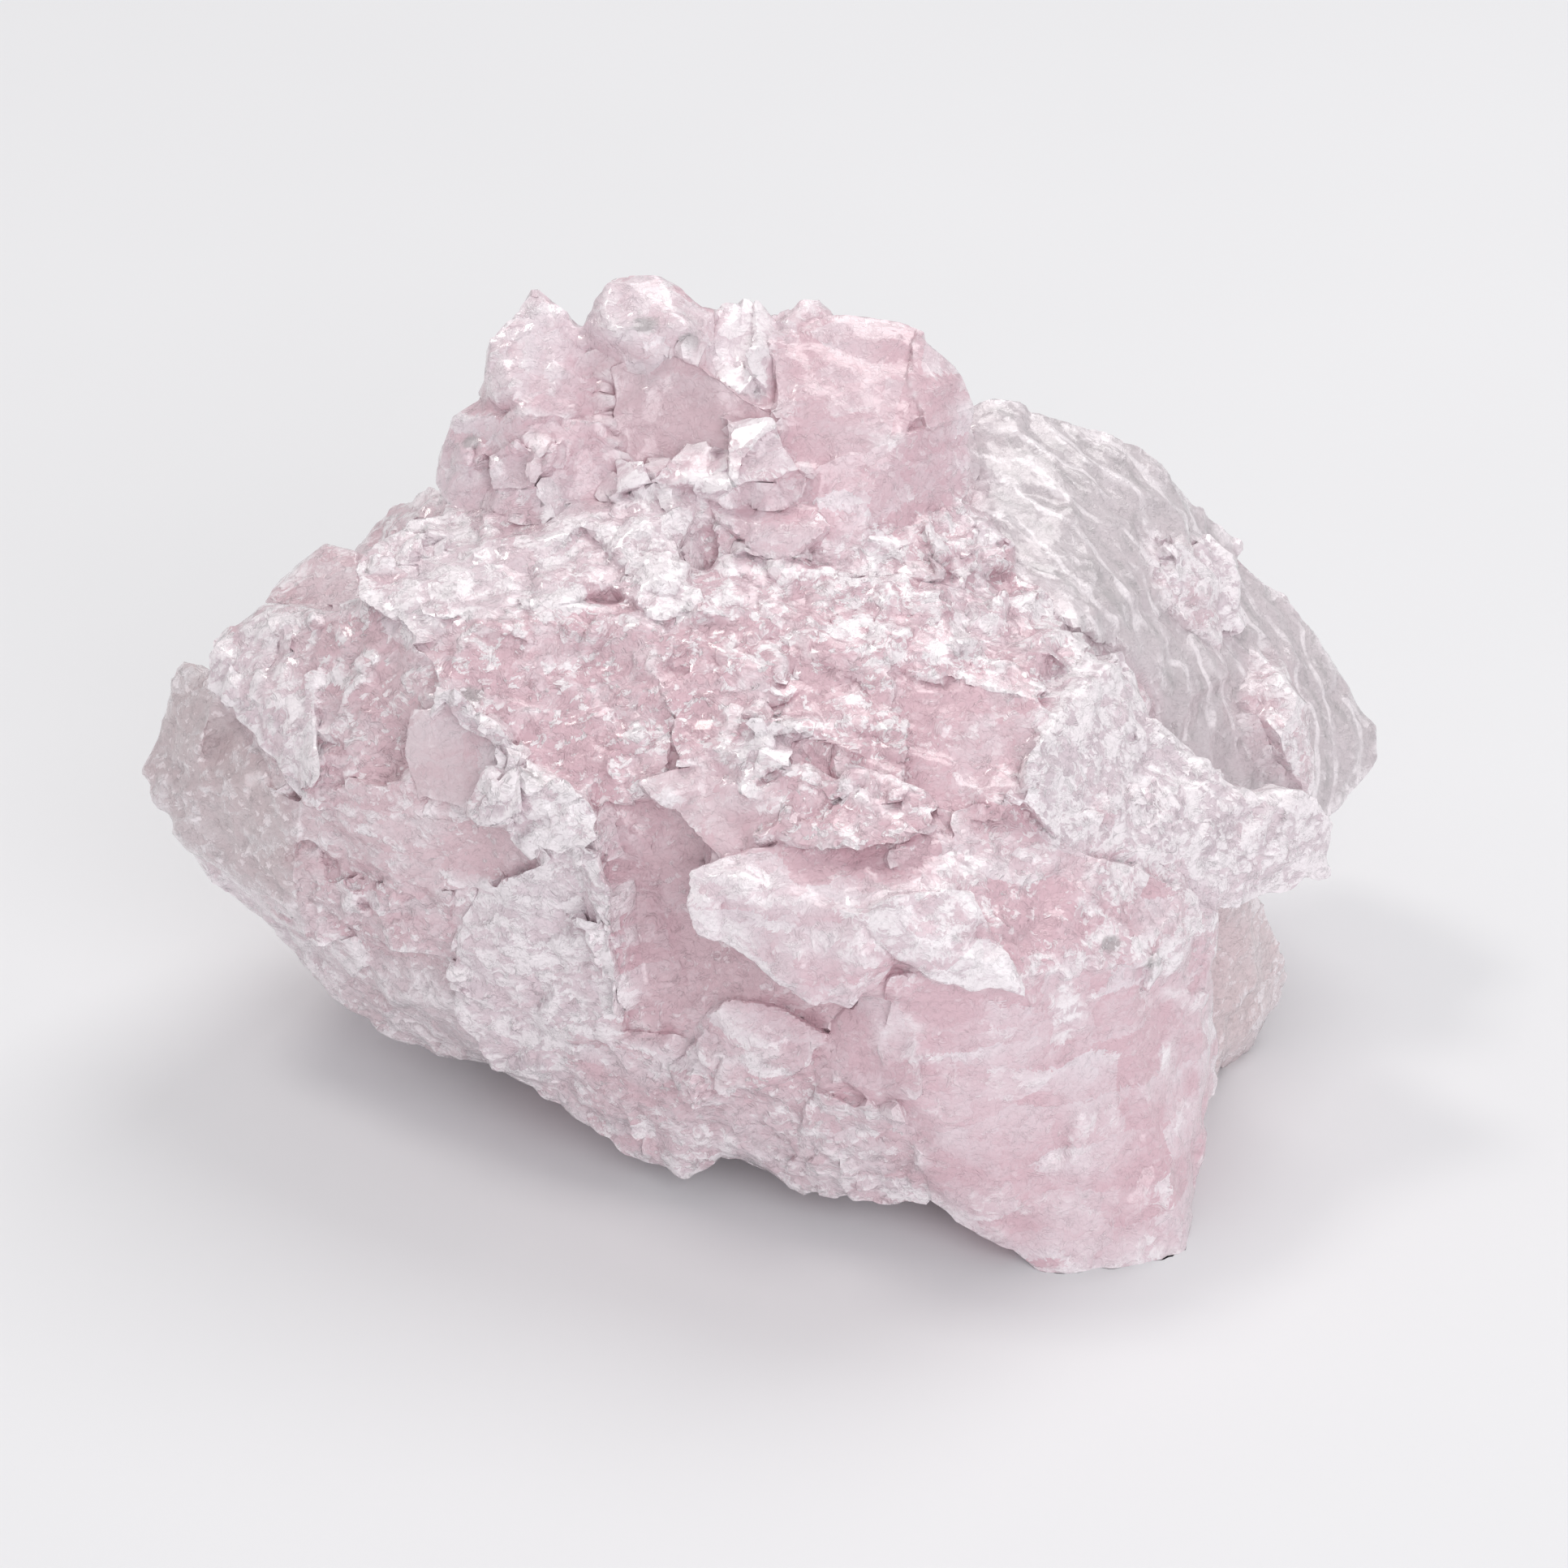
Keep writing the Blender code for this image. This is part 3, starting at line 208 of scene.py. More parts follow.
        (-23, -5.5, 19.5), (-18.5, -8.5, 22), (-14, -10, 22), (-9.5, -12, 20), (-13.5, -10, 16.5),
        (-18, -8, 16), (-23, -4, 15))),
    ("left_rim", "left", 6, 0.8, (
        (-23.5, -4.5, 14), (-20.5, -6.5, 15.5), (-15.5, -9, 16), (-15.5, -9, 12), (-18, -8, 12),
        (-22, -5.5, 11.5), (-23.5, -4.5, 12))),
    ("left_lens", "lens", 4, 0.8, (
        (-17, -7.5, 25.5), (-15.5, -8, 26), (-13.5, -10, 24.5), (-13.5, -10.5, 23), (-14.5, -11, 21.5),
        (-17, -9.5, 21.5), (-17.5, -8.5, 23.5))),
    ("left_crust", "crust", 5, 0.8, (
        (-28, 1, 24), (-26.5, 2, 25), (-25, 2, 26), (-22.5, 0, 26.5), (-22, -3.5, 24.5),
        (-22, -6.5, 21.5), (-23, -6, 20), (-28, 0.5, 22.5))),
    ("left_tip", "tip", 8, 0.75, (
        (-29.5, 4, 21.5), (-28.5, 3.5, 21.5), (-25, -1, 20.5), (-25, -3, 19), (-23, -4, 18.5),
        (-23.5, -4, 12), (-26.5, -1.5, 12), (-29.5, 1, 13), (-31.5, 2, 15), (-32, 3, 16),
        (-31, 4, 18))),
    ("left_tip_facet", "tip", 5, 0.8, (
        (-26, -2, 18.5), (-25, -3, 19), (-23, -5, 19), (-23.5, -5, 13), (-26, -2.5, 14.5))),
    ("back_bit", "cheek", 7, 0.8, (
        (-25.5, 6, 24), (-25, 8, 24.5), (-23.5, 8, 25.5), (-22.5, 8, 26.5), (-21, 7, 26.5),
        (-20.5, 3, 25.5))),
    ("under_strip", "under_strip", 6, 0.8, (
        (-29.5, 2, 12), (-26.5, -0.5, 12), (-23.5, -4, 12), (-19, -7, 12), (-21, -4, 8),
        (-23.5, -1, 6.5), (-27, 1, 10))),
    ("under_left", "under", 7, 0.8, (
        (-23.5, -1, 6.5), (-20.5, -5, 10.5), (-15.5, -8.5, 12), (-15.5, -8, 9), (-14, -7, 5.5),
        (-14, -5, 3), (-17, -3, 2.5), (-19.5, -2, 3.5), (-22.5, -0.5, 5))),
    ("vein_1", "vein", 4, 0.7, (
        (-16.5, -7.5, 26.5), (-15.5, -8, 27), (-13.5, -10, 26), (-11.5, -11, 25.5), (-12, -11, 24.5),
        (-14, -10, 25))),
    ("vein_2", "vein", 4, 0.75, (
        (-13.5, -11, 24.5), (-11.5, -12, 25.5), (-11.5, -13, 23), (-13, -12.5, 22), (-14.5, -11, 21.5),
        (-13.5, -11, 23))),
    ("vein_3", "vein", 5, 0.75, (
        (-12, -12.5, 22.5), (-10, -12, 24.5), (-8, -13, 23), (-8, -14, 22), (-10, -13.5, 21),
        (-11.5, -12.5, 20.5), (-12.5, -12, 21))),
    ("white_lobe", "lobe", 8, 0.8, (
        (-14, -10, 17), (-11.5, -12, 19.5), (-9.5, -13, 21), (-8, -13.5, 20), (-7, -12.5, 10),
        (-7, -12, 8), (-10, -10, 5.5), (-15.5, -9, 12), (-15.5, -9, 9.5), (-14, -8.5, 6),
        (-12.5, -8, 4.5))),
    ("white_lobe_edge", "vein", 4, 0.8, (
        (-9.5, -13, 21), (-8, -14, 21.5), (-7.5, -14.5, 19), (-7, -14, 13), (-7.5, -13.5, 11.5),
        (-9, -13, 16.5))),
    ("heart", "heart", 8, 0.9, (
        (-8, -11, 21.5), (-6, -11, 23.5), (2.5, -15.5, 14), (5.5, -16, 15.5), (6, -16.5, 11.5),
        (2, -15, 10.5), (-7, -12, 9))),
    ("tongue", "tongue", 5, 0.85, (
        (-6, -12, 24), (-3.5, -11.5, 24.5), (0, -13, 24), (2.5, -14.5, 22.5), (-2.5, -14.5, 21.5))),
    ("nose", "nose", 7, 0.7, (
        (-3.5, -16.5, 20.5), (-3.5, -16, 21.5), (-2, -15, 22), (2.5, -14.5, 22.5), (6, -15, 22),
        (8, -17.5, 21), (4.5, -19, 21), (4.5, -19.5, 17.5), (4, -19.5, 16), (2.5, -19, 16.5),
        (2.5, -19, 17.5), (-3, -17, 19))),
    ("scale", "scale", 5, 0.75, (
        (4.5, -18.5, 21), (6, -18.5, 21.5), (9.5, -17.5, 21), (10, -18.5, 19.5), (12, -19.5, 17),
        (9.5, -19.5, 17.5), (8, -19.5, 18), (6, -19, 19), (5, -19, 20))),
    ("front_cap", "front_cap", 9, 0.85, (
        (6, -15.5, 22), (8.5, -13.5, 22.5), (12, -12.5, 22), (16, -12, 20), (20.5, -9.5, 16.5),
        (22, -8.5, 14.5), (22, -9.5, 11.5), (18, -15, 15.5), (12, -18, 17), (8, -17, 20.5))),
    ("front_block", "front_block", 12, 0.85, (
        (6, -18.5, 17), (11.5, -18, 17.5), (17.5, -15, 15.5), (22, -9.5, 12.5), (22.5, -9, 7),
        (21, -14.5, 0.5), (20.5, -16.5, -0.5), (19.5, -17, -0.5), (14.5, -18, -0.5), (12, -18, 1),
        (8, -17, 3), (5.5, -18, 12.5))),
    ("front_chip", "cheek", 5, 0.8, (
        (20, -11.5, 7.5), (22, -9.5, 7), (22.5, -10, 5.5), (22, -10, 4.5), (21, -11.5, 5),
        (20, -12, 6.5))),
    ("front_side_crystal", "scale", 4, 0.75, (
        (19.5, -13, 13), (21.5, -11, 11.5), (22, -10, 7.5), (20, -12, 8.5), (19, -13.5, 11))),
    ("rim_left", "rim", 8, 0.8, (
        (-12.5, -8, 4.5), (-10, -9, 4), (-8.5, -10, 2.5), (-6, -11, 1.5), (-4, -12, 1.5),
        (-2.5, -12.5, 2.5), (-1.5, -14, 7), (-3.5, -13.5, 10), (-7.5, -12.5, 10.5),
        (-10.5, -10.5, 8.5))),
    ("rim_mid", "rim", 8, 0.8, (
        (-3.5, -14, 7.5), (-2.5, -12.5, 3), (-1, -13, 3), (0.5, -13.5, 2), (2, -14, 2.5),
        (8, -16.5, 2.5), (8.5, -18.5, 12), (2, -16, 12), (-2, -14.5, 10.5))),
    ("rim_fold", "rim", 4, 0.75, (
        (-3.5, -14, 10.5), (2, -16, 12.5), (2.5, -17, 11), (1, -16, 9.5), (-4, -14, 7.5),
        (-4.5, -13.5, 8.5))),
    ("rim_edge", "rim", 5, 0.75, (
        (2.5, -16.5, 9.5), (7, -18, 8.5), (7.5, -17.5, 6), (5.5, -16, 4), (2, -15, 4),
        (1.5, -15.5, 6.5))),
    ("wing_root", "wing", 8, 0.75, (
        (13.5, -8, 25.5), (14, -5.5, 25.5), (15.5, -3, 26), (17.5, -2, 26), (18.5, -2.5, 24),
        (19.5, -4.5, 22), (19, -8, 20), (16.5, -11, 19.5), (14, -12.5, 21), (12, -12.5, 23),
        (12.5, -11.5, 25))),
    ("wing_arm", "wing", 7, 0.8, (
        (18, -4, 23), (22.5, -5, 19), (24.5, -5, 19), (24, -7, 14.5), (21, -8.5, 16), (19, -10, 18.5),
        (16.5, -11, 19.5), (15, -8.5, 22.5))),
    ("wing_end", "wing_end", 6, 0.75, (
        (21.5, -6, 19), (23, -5, 19), (25, -4.5, 19), (26.5, -4.5, 19), (28, -4, 17), (28, -4, 15.5),
        (27.5, -4.5, 14), (26, -5.5, 14), (24, -7, 14), (22.5, -8, 14.5), (20.5, -9, 16.5))),
    ("wing_crest", "wing", 4, 0.75, (
        (18.5, -3.5, 23.5), (20, -3.5, 22), (22.5, -4, 19.5), (23, -4.5, 19), (19.5, -6.5, 21),
        (17.5, -5, 23))),
    ("flank_top", "flank", 9, 0.8, (
        (10, 8, 29.5), (10.5, 12.5, 32), (11.5, 13, 32), (14.5, 13.5, 31), (17, 14, 29.5),
        (19.5, 14, 28.5), (21.5, 14, 26.5), (22, 9, 24.5), (18.5, 3, 23), (15, 0.5, 26),
        (12, 3, 27.5))),
    ("flank_mid", "flank", 8, 0.8, (
        (16, 10, 27.5), (21.5, 14, 26.5), (23.5, 14.5, 24), (26, 14, 20.5), (25.5, 7, 18),
        (22, 1.5, 16), (18.5, 1.5, 21), (18, 2, 23.5), (14.5, 3, 26))),
    ("flank_end", "flank", 9, 0.75, (
        (23, 14, 24.5), (25, 14, 22), (28, 13.5, 19.5), (29.5, 13, 16.5), (31, 12, 15), (32, 11, 14),
        (32, 10, 13), (31, 8.5, 12), (29, 6, 11.5), (23, 1.5, 15), (20.5, 1, 17.5), (21.5, 5.5, 22))),
    ("flank_rim", "flank_rim", 5, 0.75, (
        (23.5, 14.5, 24), (26, 14.5, 20.5), (28, 14, 19), (30, 13, 16), (31, 12, 14.5),
        (29, 9.5, 15.5), (26.5, 10.5, 19), (24, 12, 22))),
    ("flank_blob", "blob", 4, 0.75, (
        (22, 10.5, 25), (23, 12, 25), (24, 11, 24), (25, 9.5, 21), (24.5, 8, 21), (22, 7, 22),
        (22.5, 9, 23))),
    ("flank_wave", "flank", 4, 0.75, (
        (11, 8.5, 29.5), (14.5, 10.5, 30), (18.5, 11.5, 28), (20.5, 11, 26), (18, 9, 26.5),
        (14, 7.5, 28))),
    ("nub", "nub", 8, 0.8, (
        (20, -5, 14.5), (25, 1, 9.5), (26.5, 3, 5), (27, 3.5, 3.5), (26.5, 3, 2.5), (25.5, 2, 1),
        (24, 1, -0.5), (23, -2, 1.5))),
    ("heart_step", "nose", 3, 0.8, (
        (-3.5, -13.5, 11), (-2, -14.5, 13), (1, -15.5, 13.5), (3, -16.5, 12.5), (2, -16.5, 10.5),
        (-1.5, -15, 10))),
    ("heart_slant", "front_block", 4, 0.8, (
        (3, -16, 13), (4.5, -17, 15.5), (7, -18.5, 15.5), (7.5, -18.5, 10.5), (5.5, -17.5, 9),
        (3, -16.5, 10.5))),
)

# The finishes: rough is how far a face is broken into small cleavage faces, frost is
# white bruised quartz, blush is deep pink, smoke is grey, tea is the brownish tint where
# the quartz is thin and clear, and clear is how far light goes through.
FINISH_KEYS = ("rough", "frost", "blush", "smoke", "tea", "clear")
FINISHES = {
    "mass": (0.5, 0.2, 0.4, 0.0, 0.0, 0.3),
    "back": (0.5, 0.25, 0.45, 0.1, 0.1, 0.3),
    "crown": (0.30, 0.04, 0.56, 0.05, 0.0, 0.4),
    "dusky": (0.20, 0.04, 0.75, 0.25, 0.05, 0.5),
    "smooth_pink": (0.24, 0.0, 0.86, 0.08, 0.0, 0.45),
    "low_crown": (0.30, 0.02, 0.68, 0.0, 0.0, 0.4),
    "white_prism": (0.20, 0.75, 0.15, 0.0, 0.0, 0.2),
    "pale_blade": (0.30, 0.32, 0.40, 0.0, 0.0, 0.4),
    "shelf": (0.55, 0.56, 0.2, 0.12, 0.0, 0.2),
    "terrace": (0.85, 0.38, 0.5, 0.0, 0.0, 0.3),
    "slope": (0.75, 0.04, 0.85, 0.0, 0.05, 0.35),
    "glassy_slope": (0.35, 0.05, 0.85, 0.0, 0.05, 0.5),
    "left": (0.6, 0.14, 0.65, 0.05, 0.15, 0.4),
    "cheek": (0.4, 0.08, 0.75, 0.1, 0.2, 0.5),
    "lens": (0.1, 0.02, 0.6, 0.25, 0.2, 0.6),
    "crust": (0.48, 0.74, 0.15, 0.05, 0.0, 0.2),
    "tip": (0.35, 0.12, 0.25, 0.2, 0.55, 0.8),
    "under": (0.45, 0.25, 0.35, 0.35, 0.1, 0.5),
    "under_strip": (0.4, 0.5, 0.25, 0.2, 0.0, 0.4),
    "vein": (0.75, 0.75, 0.18, 0.0, 0.0, 0.2),
    "lobe": (0.48, 0.75, 0.12, 0.10, 0.0, 0.3),
    "heart": (0.38, 0.06, 1.0, 0.1, 0.1, 0.5),
    "tongue": (0.28, 0.05, 0.80, 0.0, 0.2, 0.5),
    "nose": (0.32, 0.16, 0.42, 0.0, 0.0, 0.4),
    "scale": (0.35, 0.50, 0.25, 0.0, 0.0, 0.3),
    "front_cap": (0.5, 0.2, 0.6, 0.0, 0.0, 0.4),
    "front_block": (0.22, 0.10, 0.72, 0.0, 0.0, 0.45),
    "rim": (0.5, 0.2, 0.45, 0.08, 0.05, 0.45),
    "wing": (0.52, 0.95, 0.08, 0.05, 0.0, 0.2),
    "wing_end": (0.5, 0.80, 0.1, 0.15, 0.0, 0.4),
    "flank": (0.24, 0.10, 0.08, 1.0, 0.0, 0.35),
    "flank_rim": (0.5, 0.45, 0.3, 0.2, 0.0, 0.3),
    "blob": (0.3, 1.0, 0.0, 0.0, 0.0, 0.2),
    "nub": (0.4, 0.0, 0.7, 0.5, 0.6, 0.5),
}

# Shell-like hollows: the block, the middle on its face, how far it reaches and its depth.
HOLLOWS = (
    ("crown_face", (-3.8, 4.2, 36.0), 5.5, 0.9),
    ("slope_right", (9.5, -11.0, 24.5), 6.5, 0.8),
    ("heart", (-4.0, -13.0, 17.0), 5.0, 0.9),
    ("nose", (3.0, -16.5, 21.8), 4.2, 0.6),
    ("front_block", (16.0, -17.0, 8.5), 8.0, 0.5),
    ("left_lens", (-15.6, -9.8, 23.0), 3.0, 0.4),
    ("left_cheek", (-15.5, -9.5, 19.5), 4.0, 0.5),
    ("back_right", (17.0, 18.0, 16.0), 7.0, 0.8),
    ("back_left", (-19.0, 16.0, 17.0), 7.0, 0.9),
)

# Shell-like ripples: the start of the blocks' names, the middle, the spacing and the height.
RIPPLE_SWAY = ((6.0, 1.6), (2.0, 0.45))      # size and reach of the noises that sway them
RIPPLES = (("flank", (4.0, -9.0, 24.0), 2.2, 0.17), ("shelf_lip", (-30.0, 0.0, 30.0), 0.9, 0.14))

# Small patches of white bruises, some of them painted glints, dark inclusions and deeper pink:
# the middle of each and its reach along each axis.
WHITE_BRUISES_AND_GLINTS = (
    ((-7.5, -0.3, 31.2), (0.9, 0.9, 0.9)), ((3.8, -4.9, 28.5), (2.2, 0.9, 1.0)),
    ((23.4, 9.8, 23.3), (1.6, 2.2, 3.6)), ((20.5, 8.5, 24.5), (2.6, 2.6, 3.2)),
    ((-5.6, -9.7, 25.4), (1.1, 0.9, 0.9)),
    ((-0.7, -10.6, 26.1), (1.3, 1.2, 1.5)), ((14.6, -16.7, 14.1), (1.6, 1.0, 1.4)),
    ((-0.4, 5.9, 36.8), (0.9, 0.8, 1.8)), ((-2.4, 1.4, 33.2), (1.7, 1.0, 1.0)),
    ((5.3, -4.6, 28.6), (1.0, 0.8, 0.8)), ((13.0, -0.3, 27.4), (1.0, 0.8, 0.8)),
    ((9.7, -14.8, 21.2), (0.9, 0.9, 0.5)), ((8.1, -18.2, 12.3), (1.5, 0.8, 0.40)),
    ((5.6, -17.2, 9.9), (0.7, 0.7, 0.3)), ((14.3, -16.6, 15.3), (0.6, 0.6, 0.9)),
    ((15.8, -16.0, 14.3), (0.6, 0.6, 1.1)), ((19.5, -13.5, 9.4), (0.8, 0.8, 0.8)),
    ((14.3, -16.7, 12.7), (0.7, 0.6, 0.5)), ((-18.0, -8.4, 18.1), (0.7, 0.5, 0.45)),
    ((-16.6, -9.0, 19.4), (0.7, 0.5, 0.3)), ((-5.6, -9.8, 25.3), (1.5, 1.2, 1.0)),
    ((-7.2, -12.4, 16.7), (0.6, 0.8, 2.0)),
)
DARK_PATCHES = (
    ((-6.0, 6.8, 39.3), (1.0, 0.8, 0.6)), ((-3.8, 6.3, 38.6), (0.9, 0.8, 0.5)),
    ((-14.7, 5.1, 33.7), (0.8, 0.7, 0.5)), ((-14.2, -8.0, 26.4), (1.0, 0.9, 0.8)),
    ((-11.1, -12.0, 24.2), (0.9, 0.8, 0.8)), ((16.6, -14.9, 16.7), (0.9, 0.8, 0.6)),
    ((18.0, -13.8, 15.3), (1.9, 1.5, 0.35)),
)
DEEP_PATCHES = (
    ((4.6, -15.4, 22.0), (4.2, 2.4, 1.6)), ((16.5, -10.2, 21.3), (1.3, 1.0, 0.8)),
    ((2.0, -6.5, 27.5), (2.2, 1.5, 1.5)), ((-6.2, 4.4, 33.3), (0.9, 0.8, 0.8)),
    ((-5.7, -12.5, 10.6), (2.2, 1.6, 1.2)), ((4.4, -15.9, 13.4), (2.0, 1.6, 1.3)),
    ((-1.3, -15.4, 9.4), (3.0, 1.5, 0.7)), ((8.6, -18.3, 15.3), (2.2, 1.4, 1.3)),
    ((21.0, -12.5, 7.2), (0.9, 0.9, 0.9)), ((23.0, -2.1, 7.0), (2.4, 2.4, 3.5)),
)

# Small broken bits grown over a finish: how many to a block, their length and their width.
BITS = {
    "terrace": (9, 2.2, 0.9), "slope": (7, 1.3, 0.9), "shelf": (5, 1.6, 1.1), "vein": (4, 1.3, 0.8),
    "wing": (6, 1.3, 1.0), "wing_end": (7, 1.3, 0.9), "crust": (6, 1.4, 0.9), "lobe": (5, 1.5, 1.0),
    "left": (4, 1.5, 1.0), "rim": (4, 1.9, 1.0), "crown": (3, 1.6, 1.1), "front_cap": (4, 1.8, 1.1),
}
BIT_CORNERS = 10
BIT_FLATNESS = 0.55          # a bit's height as a share of its width
BIT_SIZES = (0.45, 0.85)     # the range of the bits' sizes, as shares
BIT_LEAN = 0.30              # how far chance leans a bit, and turns it along the grain
BIT_TURN = 0.35
BIT_FACING = -0.2            # bits grow where a face looks at least this much to the front

# The coarse blocks over the broken back: an egg's middle and half-axes, the first angle and
# the sweep round it, the lowest rise and the sweep up it, and a block's size and flatness.
BACK_COUNT = 26
BACK_CORNERS = 13
BACK_MIDDLE = np.array((1.0, 5.0, 15.0))
BACK_REACH = np.array((26.0, 12.3, 13.5))
BACK_TURN = (12.0, 160.0)
BACK_RISE = (-40.0, 92.0)
BACK_SIZE = 5.2
BACK_SIZES = (0.75, 1.3)     # the range of their sizes, as shares
BACK_SPREADS = (0.8, 1.1)    # the range of a corner's way out, as shares
BACK_FORM = (1.25, 0.85, 0.55)

CORNER_SEED = 5
BACK_SEED = 3
BIT_SEED = 11
PLAIN_BLOCK = 13             # a block with fewer facets than this gets the coarse grid
COARSE_ROWS = 16
FINE_ROWS = 64
BIT_ROWS = 24
VOXEL = 0.25                 # the skin's grain, in millimetres
GAP_FILL = 0.75              # gaps between blocks up to twice this wide are healed
HEALED_OVER = 0.30           # skin this far over its facet is healed gap and keeps its own way
WIDE_SWELL = (6.0, 0.28)     # size and height of the faces' slow unevenness
LARGE_BREAK = (4.0, 0.22, 0.22)      # size, tilt and step of the large cleavage faces
SMALL_BREAK = (1.7, 0.40, 0.12)      # and of the small ones
BREAK_SWAY = (0.7, 0.22)     # size and reach of the noise that sways their borders, to their size
ALWAYS_BROKEN = 0.25         # the share of the large faces' tilt that smooth blocks have too
HOLDS = (1.2, 0.8)           # how firmly points keep their places in each pressing
KEEP_SOUND = 0.02            # the least hold on every side, so that each point has one answer
LONGEST_MOVE = 0.7           # the most that one pressing moves a point, in millimetres
SOFTEN = 1                   # easing rounds on the broken skin
CRUMB = (1.3, 0.08)          # size and height of the crumbs where the skin is rough
GRIT = (0.8, 0.05)           # size and height of the finer grit
CHUNK = 6000                 # points that are set against all facets at a time
MOST_TRIANGLES = 192000
INSIDE_BOX = 0.00002         # the surface keeps this far inside the solid's box, in metres
SHARP_ANGLE = math.radians(30.0)

# Edge marks: easing rounds of the near, wide and broad skin, and the millimetres that a
# point stands out from each for the full mark.
NEAR_ROUNDS = 3
WIDE_ROUNDS = 24
BROAD_ROUNDS = 160
NEAR_WHOLE = 0.07
WIDE_WHOLE = 0.25
BROAD_WHOLE = 2.4
# The thin rim is a painted highlight along the borders of blocks that stand out.
RIM_HIGHLIGHT_WHOLE = 0.04
RIM_HIGHLIGHT_GAIN = 1.6

# How many rounds each finish is eased over the skin, so that finishes run into each other.
MERGE = {"rough": 8, "frost": 10, "blush": 36, "smoke": 12, "tea": 36, "clear": 12}


# ---------------------------------------------------------------- random fields

def scramble(whole, channel):
    """Random numbers from 0 to 1 that belong to whole-numbered places, by mixing their bits.
    Each channel gives its own set of numbers."""
    x, y, z = (whole[..., k].astype(np.int64).astype(np.uint32) for k in range(3))
    bits = x * np.uint32(73856093) ^ y * np.uint32(19349663) ^ z * np.uint32(83492791)
    bits = bits ^ np.uint32((channel * 2654435761) % 2 ** 32)
    for shift, factor in ((16, 0x7FEB352D), (15, 0x846CA68B)):
        bits = (bits ^ (bits >> np.uint32(shift))) * np.uint32(factor)
    return (bits ^ (bits >> np.uint32(16))).astype(np.float64) / 2.0 ** 32


def cloud(points, size, channel):
    """Smooth noise from -1 to 1: random values on a lattice, eased from one to the next."""
    scaled = points / size
    low = np.floor(scaled)
    part = scaled - low
    part = part * part * (3.0 - 2.0 * part)
    total = np.zeros(len(points))
    for step in itertools.product((0, 1), repeat=3):
        share = np.prod(np.where(step, part, 1.0 - part), axis=1)
        total += share * scramble(low + step, channel)
    return total * 2.0 - 1.0


def clouds(points, size, layers, channel):
    """Noise in layers, each half as large and half as strong as the one before."""
    parts = [cloud(points, size / 2 ** k, channel + k) / 2 ** k for k in range(layers)]
    return sum(parts)


def cells(points, size, channel):
    """The nearest of the seeds strewn one to each lattice cube: its place and its lattice
    numbers."""
    scaled = points / size
    low = np.floor(scaled)
    best = np.full(len(points), np.inf)
    seed = np.zeros_like(points)
    home = np.zeros_like(points)
    for step in itertools.product((-1, 0, 1), repeat=3):
        whole = low + step
        place = whole + np.stack([scramble(whole, channel + k) for k in range(3)], axis=-1)
        far = ((place - scaled) ** 2).sum(axis=1)
        nearer = far < best
        best = np.where(nearer, far, best)
        seed[nearer] = place[nearer]
        home[nearer] = whole[nearer]
    return seed * size, home


def unit(vectors):
    """Vectors of length one."""
    return vectors / np.maximum(np.linalg.norm(vectors, axis=-1, keepdims=True), 1e-9)


# ---------------------------------------------------------------- blocks

def block_corners(depth, taper, face, chance):
    """Corners of a block: its face, and the same face drawn in and moved along the run."""
    front = np.array([[value + chance.uniform(-CORNER_PLAY, CORNER_PLAY) for value in corner]
                      for corner in face])
    if depth == 0:
        return front
    middle = front.mean(axis=0)
    run = AWAY * AWAY_SHARE + unit(HEART - middle) * (1.0 - AWAY_SHARE)
    return np.vstack((front, middle + (front - middle) * taper + unit(run) * depth))


def hull_planes(corners):
    """Facets of the convex solid round some corners, as outward normals and reaches.

    Every three corners span a plane, which is a facet where no corner lies beyond it.
    """
    triples = np.array(list(itertools.combinations(range(len(corners)), 3)))
    a, b, c = (corners[triples[:, k]] for k in range(3))
    normal = np.cross(b - a, c - a)
    sound = np.linalg.norm(normal, axis=1) > 1e-6
    normal, a = unit(normal[sound]), a[sound]
    reach = (normal * a).sum(axis=1)
    beyond = corners @ normal.T - reach
    outer = beyond.max(axis=0) < 1e-6
    inner = beyond.min(axis=0) > -1e-6
    facets = np.vstack((np.column_stack((normal[outer], reach[outer])),
                        np.column_stack((-normal[inner], -reach[inner]))))
    return np.unique(facets.round(6), axis=0)


def block_surface(facets, middle, rows, columns):
    """A block as a surface of two angles, one from pole to pole and one round the axis.

    A ray from the middle leaves the block at the nearest facet ahead of it: its length
    is the least of (reach - normal . middle) / (normal . direction) over those facets.
    """
    polar = np.linspace(0.0, math.pi, rows)[:, None]
    turn = np.linspace(0.0, math.tau, columns, endpoint=False)[None, :]
    way = np.stack((np.sin(polar) * np.cos(turn), np.sin(polar) * np.sin(turn),
                    np.cos(polar) + 0.0 * turn), axis=-1)
    slant = way @ facets[:, :3].T
    ahead = facets[:, 3] - facets[:, :3] @ middle
    length = np.where(slant > 1e-4, ahead / np.maximum(slant, 1e-4), np.inf).min(axis=-1)
    return middle + way * length[..., None]


def closed_faces(rows, columns):
    """Faces of a pole-to-pole grid: quads round it and a fan of triangles at each pole."""
    ring = np.arange(columns)
    after = (ring + 1) % columns
    row = 1 + np.arange(rows - 3)[:, None] * columns
    quads = np.stack((row + ring, row + columns + ring, row + columns + after, row + after), axis=-1)
    last = 1 + (rows - 3) * columns
    top = np.stack((0 * ring, 1 + ring, 1 + after), axis=-1)
    foot = np.stack((0 * ring + last + columns, last + after, last + ring), axis=-1)
    return quads.reshape(-1, 4), np.vstack((top, foot))


